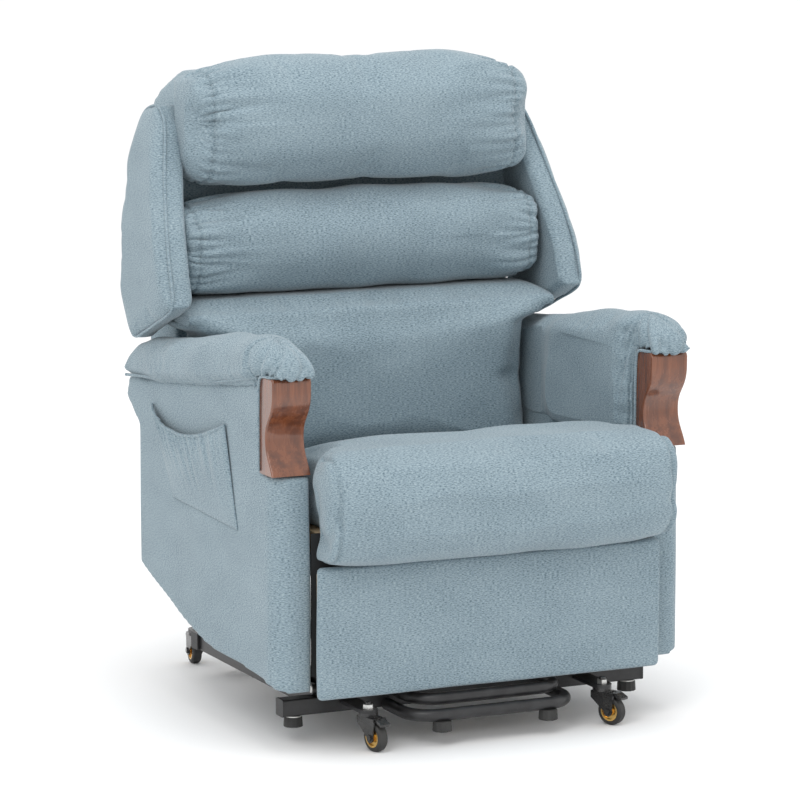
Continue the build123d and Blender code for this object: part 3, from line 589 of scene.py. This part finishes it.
# ================================================================ pieces
class CHAIR_OT_stage(bpy.types.Operator):
    """Put down the floor, the lights and the camera"""
    bl_idname = "chair.stage"
    bl_label = "Floor, lights and camera"

    def execute(self, context):
        look, scene = settings().stage, context.scene
        deselect()
        bpy.ops.mesh.primitive_plane_add(size=120)
        floor = context.object
        floor.name = "floor"
        shader = Shader("pale_floor")
        haze = shader.noise(shader.place(), 1.5, 2.0)
        paper = shader.mix(haze * 0.04, opaque(look.floor), (1.0, 1.0, 1.0, 1.0))
        floor.data.materials.append(shader.finish(Base_Color=paper, Roughness=0.9, Specular_IOR_Level=0.1))
        world = bpy.data.worlds.new("studio")
        world.use_nodes = True
        world.node_tree.nodes["Background"].inputs["Color"].default_value = (1.0, 1.0, 1.0, 1.0)
        world.node_tree.nodes["Background"].inputs["Strength"].default_value = 1.09
        scene.world = world
        for name, place, size, power in (
                ("key", (-2.6, -2.6, 3.4), 2.0, 42), ("fill", (3.4, -2.6, 2.2), 2.6, 8),
                ("top", (0.0, -0.6, 4.2), 2.0, 40), ("rear", (1.6, 3.8, 2.8), 2.6, 14)):
            lamp = bpy.data.lights.new(name, "AREA")
            lamp.shape, lamp.size, lamp.energy = "DISK", size, power
            obj = bpy.data.objects.new(name, lamp)
            obj.location = place
            obj.rotation_euler = (Vector((0, 0, 0.55)) - obj.location).to_track_quat("-Z", "Y").to_euler()
            scene.collection.objects.link(obj)
        toward = Vector((math.sin(look.azimuth) * math.cos(look.elevation),
                         -math.cos(look.azimuth) * math.cos(look.elevation), math.sin(look.elevation)))
        data = bpy.data.cameras.new("camera")
        data.lens, data.sensor_width = look.lens, 36.0
        camera = bpy.data.objects.new("camera", data)
        camera.location = Vector(look.target) + toward * look.distance
        camera.rotation_euler = (-toward).to_track_quat("-Z", "Y").to_euler()
        scene.collection.objects.link(camera)
        scene.camera = camera
        scene.view_settings.view_transform = "Standard"
        return {"FINISHED"}


class CHAIR_OT_finishes(bpy.types.Operator):
    """Make every material and give the frame's own parts theirs"""
    bl_idname = "chair.finishes"
    bl_label = "Metal, plastic and wood finishes"

    def execute(self, context):
        made = make_finishes()
        for part in frame["record"]["subparts"]:
            mesh_slots = frame["nodes"][part["node"]].material_slots
            for mesh_slot in mesh_slots:
                mesh_slot.material = made[part["material_slot"]]
        return {"FINISHED"}


class CHAIR_OT_seat(bpy.types.Operator):
    """Upholster the seat with its front roll"""
    bl_idname = "chair.seat"
    bl_label = "Seat cushion"

    def execute(self, context):
        low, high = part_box("seat_cushion")
        arm_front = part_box("knuckle_right")[0].y
        between_arms, clear_of_arms, overhang, roll_spread = 0.3262, 0.3265, 0.014, 0.017
        seat = remeshed(copy_of("seat_cushion", "seat_pad"), 0.0065, 0.004, 8)
        filled(seat, settings().padding.swell * 0.8)
        relaxed(seat)
        places = points(seat.data)
        x, y, z = places.T
        upper = ramp(z, low.z + 0.10, low.z + 0.15)
        places[:, 2] -= upper * ramp(y, arm_front + 0.01, 0.08) * 0.058
        in_front = ramp(y, arm_front + 0.012, arm_front - 0.012)
        spread = (high.x + roll_spread) / high.x
        places[:, 0] = np.clip(x, -between_arms, between_arms) * (1 + (spread - 1) * in_front)
        put(seat, places)
        x, y, z = places.T
        facing = directions(seat)
        ear = high.x - 0.004
        seam = sum(bell(x, s * ear, 0.0035) for s in (-1, 1))
        seam = seam * ramp(y, arm_front - 0.004, arm_front - 0.02)
        amount = -0.006 * seam
        roll = ramp(y, low.y + 0.13, low.y + 0.05)
        away = ear - np.abs(x)
        amount += gathers(z, away, 11, 0.045, 0.0030, 0.06) * roll * (away > 0)
        amount += 0.006 * roll * ramp(-facing[:, 1], 0.2, 0.9) * (1 - (x / high.x) ** 4)
        pushed(seat, amount)
        rumple(seat, 3, 0.16, 0.0016)
        places = points(seat.data)
        behind = ramp(places[:, 1], arm_front - 0.004, arm_front)
        reach = clear_of_arms + (1 - behind) * overhang
        places[:, 0] = np.clip(places[:, 0], -reach, reach)
        places[:, 2] -= 0.005 * ramp(places[:, 2], low.z + 0.05, low.z) * (1 - behind)
        put(seat, places)
        held_in(seat, (None, low.y - 0.006, low.z - 0.005), (None, high.y, high.z + 0.006))
        cover(seat, "chassis", "seat_cushion", fill=0.8)
        return {"FINISHED"}


class CHAIR_OT_lower_back(bpy.types.Operator):
    """Upholster the lowest back cushion"""
    bl_idname = "chair.lower_back"
    bl_label = "Lower back cushion"

    def execute(self, context):
        low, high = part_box("back_cushion")
        between_arms, ear = 0.326, 0.040
        back = remeshed(copy_of("back_cushion", "lower_back_pad"), 0.0065, 0.005, 16)
        filled(back, settings().padding.swell * 0.8)
        relaxed(back)
        x, y, z = points(back.data).T
        front = ramp(-directions(back)[:, 1], 0.1, 0.7)
        amount = gathers(x, high.z - 0.01 - z, 21, 0.055, 0.0032, 0.12, 0.12) * front
        pushed(back, amount)
        rumple(back, 5, 0.14, 0.0016)
        held_in(back, (None, low.y - 0.012, low.z), (None, high.y, high.z + 0.003))
        places = points(back.data)
        above_arms = ramp(places[:, 2], high.z - 0.066, high.z - 0.044)
        share = np.abs(places[:, 0]) / high.x
        reach = between_arms + ear * above_arms
        places[:, 2] -= 0.022 * ramp(share, 0.80, 1.05) * ramp(places[:, 2], high.z - 0.05, high.z)
        widened = places[:, 0] * (1 + 0.125 * above_arms * ramp(share, 0.5, 0.9))
        places[:, 0] = np.clip(widened, -reach, reach)
        put(back, places)
        finish_with(back, "SMOOTH", factor=0.5, iterations=3)
        cover(back, "backrest", "back_cushion", fill=0.7)
        return {"FINISHED"}


def pillow(node, name, seed, crown, end_round, seam_in, widen):
    """A stuffed pillow: arched along its top, drawn in at its ends, and gathered on its end seams."""
    low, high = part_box(node)
    obj = remeshed(copy_of(node, name), 0.006, 0.006, 18)
    places = points(obj.data)
    places[:, 0] *= widen
    high.x, low.x = high.x * widen, low.x * widen
    middle = (low + high) / 2
    share = np.abs(places[:, 0]) / high.x
    drop = ramp(share, 0.55, 1.0) * crown
    lift = np.clip((places[:, 2] - middle.z) / (high.z - middle.z), 0, 1)
    places[:, 2] -= drop * lift
    pinch = 1 - end_round * np.clip(share, 0, 1) ** 12
    places[:, 2] = middle.z + (places[:, 2] - middle.z) * pinch
    places[:, 1] = high.y + (places[:, 1] - high.y) * (1 - end_round * 0.6 * np.clip(share, 0, 1) ** 10)
    put(obj, places)
    filled(obj, settings().padding.swell)
    relaxed(obj, 4)
    x, y, z = points(obj.data).T
    angle = np.arctan2(z - middle.z, y - middle.y)
    around = angle * 0.13
    seam_x = high.x - seam_in
    inward = seam_x - np.abs(x)
    amount = -0.005 * bell(inward, 0, 0.004)
    for s in (-1, 1):
        this_end = (s * x > 0) * ramp(inward, -0.03, 0.0)
        amount += gathers(around, inward, seed + s, 0.026, 0.0062, 0.060) * this_end
        amount += gathers(around, inward, seed + 40 + s, 0.085, 0.0050, 0.11, 0.5) * this_end
        amount += gathers(around, -inward, seed + 70 + s, 0.026, 0.0022, 0.02) * (s * x > 0) * (inward < 0)
    back = ramp(y, high.y - 0.02, high.y - 0.06)
    pushed(obj, amount * back)
    rumple(obj, seed, 0.13, 0.0018)
    return obj, low, high


class CHAIR_OT_pillows(bpy.types.Operator):
    """Stuff the lumbar and the head pillow"""
    bl_idname = "chair.pillows"
    bl_label = "Lumbar and head pillows"

    def execute(self, context):
        for node, name, seed, crown, end_round, seam_in, widen in (
                ("lumbar_pillow", "lumbar_stuffing", 31, 0.016, 0.12, 0.030, 1.015),
                ("head_pillow", "head_stuffing", 52, 0.026, 0.18, 0.040, 0.98)):
            obj, low, high = pillow(node, name, seed, crown, end_round, seam_in, widen)
            held_in(obj, (low.x, low.y - 0.018, low.z - 0.003), (high.x, high.y, high.z + 0.004))
            cover(obj, "backrest", node, fill=0.65)
        return {"FINISHED"}


class CHAIR_OT_wings(bpy.types.Operator):
    """Upholster the wings and cord their outer edges"""
    bl_idname = "chair.wings"
    bl_label = "Wings"

    def execute(self, context):
        low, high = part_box("wing_right")
        lean_from, lean, bend, cord_in = 0.78, 0.055, 1.4, 0.039
        wing = remeshed(copy_of("wing_right", "wing_pad_right"), 0.006, 0.003, 8)
        filled(wing, 0.010)
        relaxed(wing, 2)
        rumple(wing, 8, 0.15, 0.0012)
        held_in(wing, (low.x + 0.001, None, None), (high.x + 0.006, None, None))
        places = points(wing.data)
        leaning = np.clip((places[:, 2] - lean_from) / (high.z - lean_from), 0, 1) ** bend
        depth = (places[:, 1] - low.y) / (high.y - low.y)
        places[:, 0] -= lean * leaning
        places[:, 1] = np.minimum(places[:, 1] + leaning * (0.030 + 0.090 * depth), high.y + 0.017)
        put(wing, places)
        centre = ((low.y + high.y) / 2 + 0.02, (low.z + high.z) / 2)
        edge = [(x + 0.027 - lean * max(0.0, (z - lean_from) / (high.z - lean_from)) ** bend, y, z)
                for x, y, z in rim(wing, high.x - cord_in, centre, 0.034, 60)]
        welts = {1: corded("wing_welt_right", edge, settings().padding.welt, closed=True)}
        pads = {1: wing, -1: mirrored(wing, "wing_pad_left")}
        welts[-1] = mirrored(welts[1], "wing_welt_left")
        for name, s in SIDES:
            cover(pads[s], "backrest", f"wing_{name}", grain="y", fill=0.8)
            cover(welts[s], "backrest", grain="y", padded=False)
        return {"FINISHED"}


def arm_roll(low, high, wood_low, wood_high, seat_high):
    """The soft top of an arm with its inner side: a loft along Y, filled, and gathered over the wood."""
    around, along = 84, 132
    deselect()
    bpy.ops.mesh.primitive_grid_add(x_subdivisions=along, y_subdivisions=around, size=2)
    roll = bpy.context.object
    roll.name = "arm_roll_right"
    flat = points(roll.data)
    t, u = (flat[:, 0] + 1) / 2, (flat[:, 1] + 1) / 2
    rear, front = high.y, wood_low.y - 0.017
    y = front + (rear - front) * (0.5 - 0.5 * np.cos(math.pi * t)) ** 0.95
    crest_y = [front, -0.343, -0.335, -0.320, -0.290, -0.22, -0.12, 0.0, 0.13, 0.25, 0.32, 0.345, rear]
    crest_z = [0.664, 0.682, 0.694, 0.704, 0.712, 0.712, 0.704, 0.688, 0.667, 0.651, 0.632, 0.612, 0.585]
    crest = np.interp(y, crest_y, crest_z)
    seam = np.interp(y, [wood_low.y, wood_high.y, 0.0, rear], [0.6555, 0.6525, 0.604, 0.570])
    on_wood = y < wood_high.y
    floor = np.where(on_wood, wood_high.z + 0.0012, seat_high.z - 0.05 + 0.08 * ramp(y, 0.26, rear))
    inner = 0.3278 - 0.016 * ramp(y, 0.09, 0.02) * ramp(y, wood_high.y, wood_high.y + 0.06)
    outer = high.x - 0.001 - 0.012 * ramp(y, -0.27, front)
    half = (crest - np.maximum(seam, floor)) * np.where(on_wood, 0.62, 0.55)
    shoulder = crest - half
    middle, width = (inner + outer) / 2, (outer - inner) / 2
    bulge = 0.006 * ramp(y, -0.26, -0.20) * ramp(y, 0.09, 0.02)
    keys = [(0.00, inner + 0.006, floor), (0.03, inner + 0.001, floor + 0.004),
            (0.16, inner - bulge, (floor * 2 + shoulder) / 3), (0.30, inner, shoulder)]
    for step in range(1, 14):
        angle = math.pi * (1 - step / 14)
        keys.append((0.30 + 0.40 * step / 14, middle + width * math.cos(angle),
                     shoulder + half * math.sin(angle) ** 0.9))
    keys += [(0.70, outer, shoulder), (0.77, outer - 0.002, seam + (shoulder - seam) * 0.45),
             (0.83, 0.4045, seam + 0.003), (0.85, 0.4015, seam), (0.88, 0.394, seam - 0.001),
             (0.94, inner + 0.030, np.minimum(seam - 0.002, floor + 0.05)), (1.00, inner + 0.006, floor)]
    x, z = np.zeros(len(u)), np.zeros(len(u))
    for (ua, xa, za), (ub, xb, zb) in zip(keys, keys[1:]):
        here = (u >= ua) & (u <= ub)
        share = np.clip((u - ua) / (ub - ua), 0, 1)
        x = np.where(here, xa + (xb - xa) * share, x)
        z = np.where(here, za + (zb - za) * share, z)
    put(roll, np.stack([x, y, z], 1))
    take(roll)
    bpy.ops.object.mode_set(mode="EDIT")
    bpy.ops.mesh.select_all(action="SELECT")
    bpy.ops.mesh.remove_doubles(threshold=0.0001)
    bpy.ops.mesh.select_all(action="DESELECT")
    bpy.ops.mesh.select_non_manifold()
    bpy.ops.mesh.fill()
    bpy.ops.mesh.select_all(action="SELECT")
    bpy.ops.mesh.normals_make_consistent(inside=False)
    bpy.ops.object.mode_set(mode="OBJECT")
    remeshed(roll, 0.0045, 0.0, 3)
    filled(roll, 0.005)
    relaxed(roll, 1)
    x, y, z = points(roll.data).T
    turn = np.arctan2(-(y - wood_high.y - 0.012), x - (wood_low.x + wood_high.x) / 2)
    away = z - wood_high.z
    fan = ramp(y, wood_high.y + 0.055, wood_high.y + 0.015)
    amount = gathers(turn * 0.055, away, 61, 0.0125, 0.0075, 0.045, 0.55) * fan
    inward = ramp(-x, -0.335, -0.322) * ramp(y, 0.0, -0.10)
    behind_wood = y > wood_high.y
    amount += gathers(z, y - wood_high.y - 0.008, 68, 0.030, 0.0030, 0.075, 0.4) * inward * behind_wood
    amount += gathers(y, z - 0.6525 + (y - wood_high.y) * 0.15, 66, 0.032, 0.0018, 0.022, 0.3) * ramp(
        x, high.x - 0.03, high.x - 0.01) * (1 - fan) * 0.6
    pushed(roll, amount)
    rumple(roll, 16, 0.14, 0.0016)
    places = points(roll.data)
    places[:, 0] -= 0.016 * ramp(places[:, 1], 0.16, rear) * ramp(places[:, 0], 0.37, high.x)
    beside = np.where(places[:, 1] < wood_high.y + 0.001, wood_low.x + 0.0002, 0.3275 - 0.020 * ramp(
        places[:, 1], 0.10, 0.06))
    low_down = places[:, 2] < wood_high.z
    places[:, 0] = np.where(low_down | (places[:, 1] > 0.06), np.maximum(places[:, 0], beside), places[:, 0])
    over = (places[:, 1] < wood_high.y + 0.001) & (places[:, 1] > wood_low.y)
    places[:, 2] = np.where(over, np.maximum(places[:, 2], wood_high.z + 0.0006), places[:, 2])
    put(roll, places)
    held_in(roll, (None, front - 0.003, None), (high.x + 0.006, None, high.z))
    return roll


class CHAIR_OT_arms(bpy.types.Operator):
    """Upholster the arm panels and the rolls on top of them"""
    bl_idname = "chair.arms"
    bl_label = "Arms"

    def execute(self, context):
        panels, pads = {}, {}
        low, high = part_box("arm_panel_right")
        panels[1] = remeshed(copy_of("arm_panel_right", "arm_side_right"), 0.006, 0.0008, 4)
        relaxed(panels[1], 0)
        rumple(panels[1], 14, 0.22, 0.0013)
        held_in(panels[1], (low.x, low.y - 0.004, None), (high.x + 0.003, high.y, None))

        low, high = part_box("arm_pad_right")
        wood_low, wood_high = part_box("knuckle_right")
        seat_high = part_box("seat_cushion")[1]
        roll = arm_roll(low, high, wood_low, wood_high, seat_high)
        pads[1] = roll
        panels[-1] = mirrored(panels[1], "arm_side_left")
        pads[-1] = mirrored(roll, "arm_roll_left")
        for name, s in SIDES:
            cover(panels[s], "chassis", f"arm_panel_{name}", grain="y", fill=0.9)
            cover(pads[s], "chassis", f"arm_pad_{name}", grain="y", fill=0.7)
        return {"FINISHED"}


class CHAIR_OT_leg_rest(bpy.types.Operator):
    """Pad the front of the leg rest"""
    bl_idname = "chair.leg_rest"
    bl_label = "Leg rest"

    def execute(self, context):
        low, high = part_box("leg_rest_cushion")
        pad = remeshed(copy_of("leg_rest_cushion", "leg_rest_pad"), 0.0045, 0.0005, 4)
        relaxed(pad, 0)
        x, y, z = points(pad.data).T
        front = ramp(-directions(pad)[:, 1], 0.3, 0.9)
        inset_x = 1 - (np.abs(x) / high.x) ** 8
        inset_z = 1 - (np.abs(z - (low.z + high.z) / 2) / (high.z - low.z) * 2) ** 6
        pushed(pad, front * np.clip(inset_x, 0, 1) * np.clip(inset_z, 0, 1) * 0.004)
        places = points(pad.data)
        places[:, 2] += 0.010 * ramp(places[:, 2], high.z - 0.10, high.z)
        put(pad, places)
        rumple(pad, 24, 0.20, 0.0008)
        held_in(pad, (low.x - 0.001, low.y - 0.005, low.z - 0.001),
                (high.x + 0.001, high.y, high.z + 0.011))
        cover(pad, "leg_rest", "leg_rest_cushion", fill=0.9)
        return {"FINISHED"}


class CHAIR_OT_outside_back(bpy.types.Operator):
    """Cover the outside of the back and the panel below it"""
    bl_idname = "chair.outside_back"
    bl_label = "Outside back"

    def execute(self, context):
        low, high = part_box("back_shell")
        shell = remeshed(copy_of("back_shell", "outside_back"), 0.008, 0.001, 12)
        relaxed(shell, 0)
        x, y, z = points(shell.data).T
        rear = ramp(directions(shell)[:, 1], 0.3, 0.9)
        seam = sum(bell(x, s * (high.x - 0.085), 0.004) for s in (-1, 1))
        puff = 0.006 * (1 - (x / high.x) ** 4)
        pushed(shell, rear * (puff - 0.005 * seam))
        rumple(shell, 33, 0.24, 0.0016)
        places = points(shell.data)
        places[:, 0] *= 1 + 0.014 * ramp(places[:, 2], 0.70, 0.72)
        put(shell, places)
        held_in(shell, (None, low.y, None), (None, high.y + 0.008, high.z))
        cover(shell, "backrest", "back_shell", fill=0.9)
        panel = remeshed(copy_of("rear_panel", "rear_cover"), 0.004, 0.0, 3)
        relaxed(panel, 0, 0)
        rumple(panel, 35, 0.20, 0.0008)
        cover(panel, "chassis", "rear_panel", fill=0.9)
        return {"FINISHED"}


class CHAIR_OT_pocket(bpy.types.Operator):
    """Sew the pocket on the outside of the left arm"""
    bl_idname = "chair.pocket"
    bl_label = "Side pocket"

    def execute(self, context):
        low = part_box("side_pocket")[0]
        columns, rows = 120, 46
        top = [(-0.117, 0.544), (-0.0615, 0.524), (0.0, 0.509), (0.045, 0.503), (0.10, 0.501),
               (0.151, 0.506), (0.19, 0.516), (0.228, 0.532)]
        bottom = [(-0.172, 0.369), (0.125, 0.378)]
        deselect()
        bpy.ops.mesh.primitive_grid_add(x_subdivisions=columns, y_subdivisions=rows, size=2)
        pocket = context.object
        pocket.name = "pocket_cloth"
        places = points(pocket.data)
        s, t = (places[:, 0] + 1) / 2, (1 - places[:, 1]) / 2
        upper_y = top[0][0] + (top[-1][0] - top[0][0]) * s
        upper_z = np.polyval(np.polyfit(*zip(*top), 4), upper_y)
        lower_y = bottom[0][0] + (bottom[1][0] - bottom[0][0]) * s
        edge = np.minimum(np.minimum(s, 1 - s) * 6, 1) ** 0.5
        stand = (0.0105 * edge * (1 - t ** 2.2) + 0.0016)
        pleats = gathers(s * 0.345, t * 0.17, 71, 0.020, 0.0050, 0.10, 0.1) * edge * (1 - t)
        wall = low.x + 0.013
        places[:, 0] = wall - stand - pleats
        places[:, 1] = upper_y + (lower_y - upper_y) * t
        places[:, 2] = upper_z + (np.interp(s, [0, 1], [bottom[0][1], bottom[1][1]]) - upper_z) * t
        put(pocket, places)
        edited(pocket, (bpy.ops.mesh.flip_normals, {}))
        # This is the finished cloth's own area and not that of a cut, so it can't show a stretch.
        upper = places[t < 1e-6]
        upper = upper[np.argsort(upper[:, 1])][::3]
        hem = corded("pocket_hem", [(p[0], p[1], p[2]) for p in upper], 0.0032)
        finish_with(pocket, "SOLIDIFY", thickness=0.0022, offset=0)
        cover(pocket, "chassis", "side_pocket", grain="y", padded=False)
        cover(hem, "chassis", grain="y", padded=False)
        return {"FINISHED"}


class CHAIR_OT_gap_shade(bpy.types.Operator):
    """Hang a near-black strip in each gap beside the leg rest, as painted shade there"""
    bl_idname = "chair.lining"
    bl_label = "Painted gap shade"

    def execute(self, context):
        # painted shade: the strips are near black so that the gaps beside the leg rest read as shadow
        shader = Shader("painted_gap_shade")
        weave = shader.noise(shader.place(), 900.0, 2.0)
        tone = shader.mix(weave, (0.008, 0.009, 0.010, 1), (0.022, 0.024, 0.026, 1))
        shader.finish(Base_Color=tone, Roughness=0.95, Normal=shader.bump(weave, 0.0006, 0.4))
        arm_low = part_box("arm_panel_right")[0]
        front, top = arm_low.y + 0.006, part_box("seat_frame")[1].z
        strip = block("gap_shade_strip_right", (0.262, front, arm_low.z + 0.028),
                      (arm_low.x - 0.0004, front + 0.003, top))
        finish_with(strip, "BEVEL", width=0.001, segments=2)
        strips = {1: strip, -1: mirrored(strip, "gap_shade_strip_left")}
        for s in (-1, 1):
            finished(strips[s], "chassis", "painted_gap_shade")
        return {"FINISHED"}


class CHAIR_OT_fasteners(bpy.types.Operator):
    """Add the bright washers of the levelling feet"""
    bl_idname = "chair.fasteners"
    bl_label = "Foot washers"

    def execute(self, context):
        low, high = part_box("front_crossbar")
        rear_low, rear_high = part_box("rear_crossbar")
        for name, s in SIDES:
            for end, foot_x, bar_low, bar_high in (
                    ("front", 0.328, low, high), ("rear", 0.200, rear_low, rear_high)):
                y = (bar_low.y + bar_high.y) / 2
                deselect()
                bpy.ops.mesh.primitive_cylinder_add(
                    vertices=48, radius=0.0150, depth=0.0022, location=(s * foot_x, y, bar_low.z - 0.0018))
                washer = context.object
                edited(washer, (bpy.ops.mesh.bevel, {"offset": 0.0005, "segments": 2}))
                washer.name = f"foot_washer_{end}_{name}"
                bpy.ops.object.transform_apply(location=True, rotation=True, scale=True)
                finished(washer, "base", "bright_zinc")
        return {"FINISHED"}


class CHAIR_OT_piping(bpy.types.Operator):
    """Cord the top and inner edges of the wood facings"""
    bl_idname = "chair.piping"
    bl_label = "Piping round the facings"

    def execute(self, context):
        low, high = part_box("knuckle_right")
        radius = settings().padding.welt
        inset = radius * 0.7
        outer, inner, above = high.x + inset, low.x - inset, high.z + inset
        route = [(outer, high.y, low.z + 0.004), (outer, high.y + 0.001, high.z - 0.012),
                 (outer, high.y - 0.006, above), (outer, low.y + 0.02, above),
                 (high.x - 0.006, low.y + 0.002, above), (low.x + 0.006, low.y + 0.002, above),
                 (inner, low.y + 0.02, above), (inner, high.y - 0.006, above),
                 (inner, high.y + 0.001, high.z - 0.012), (inner, high.y, low.z + 0.004)]
        seam_x = high.x + 0.0045
        seam = [(seam_x, 0.345, 0.5715), (seam_x, 0.26, 0.5800), (seam_x, 0.175, 0.5885),
                (seam_x, 0.06, 0.5990), (seam_x, -0.06, 0.6130), (seam_x, -0.17, 0.6325),
                (seam_x - 0.001, high.y, 0.6515)]
        for name, line in (("facing_piping", route), ("arm_seam_piping", seam)):
            cords = {1: corded(name + "_right", line, radius)}
            cords[-1] = mirrored(cords[1], name + "_left")
            for s in (-1, 1):
                cover(cords[s], "chassis", grain="y", padded=False)
        return {"FINISHED"}


class CHAIR_PT_panel(bpy.types.Panel):
    """The chair's steps and settings"""
    bl_idname = "CHAIR_PT_panel"
    bl_label = "Lift recliner chair"
    bl_space_type = "VIEW_3D"
    bl_region_type = "UI"
    bl_category = "Chair"

    def draw(self, context):
        for step in STEPS:
            self.layout.operator(step.bl_idname)
        for group in (context.scene.chair.fabric, context.scene.chair.wood, context.scene.chair.padding,
                      context.scene.chair.stage):
            box = self.layout.box()
            for name in group.__annotations__:
                box.prop(group, name)


GROUPS = (FabricSettings, WoodSettings, PaddingSettings, StageSettings, ChairSettings)
STEPS = (CHAIR_OT_stage, CHAIR_OT_finishes, CHAIR_OT_seat, CHAIR_OT_lower_back, CHAIR_OT_pillows,
         CHAIR_OT_wings, CHAIR_OT_arms, CHAIR_OT_leg_rest, CHAIR_OT_outside_back, CHAIR_OT_pocket,
         CHAIR_OT_piping, CHAIR_OT_gap_shade, CHAIR_OT_fasteners)


def register():
    for made in (*GROUPS, *STEPS, CHAIR_PT_panel):
        bpy.utils.register_class(made)
    bpy.types.Scene.chair = bpy.props.PointerProperty(type=ChairSettings)


def unregister():
    del bpy.types.Scene.chair
    for made in reversed((*GROUPS, *STEPS, CHAIR_PT_panel)):
        bpy.utils.unregister_class(made)


def main():
    register()
    for step in STEPS:
        group, name = step.bl_idname.split(".")
        getattr(getattr(bpy.ops, group), name)()
    deselect()


if __name__ == "__main__":
    main()
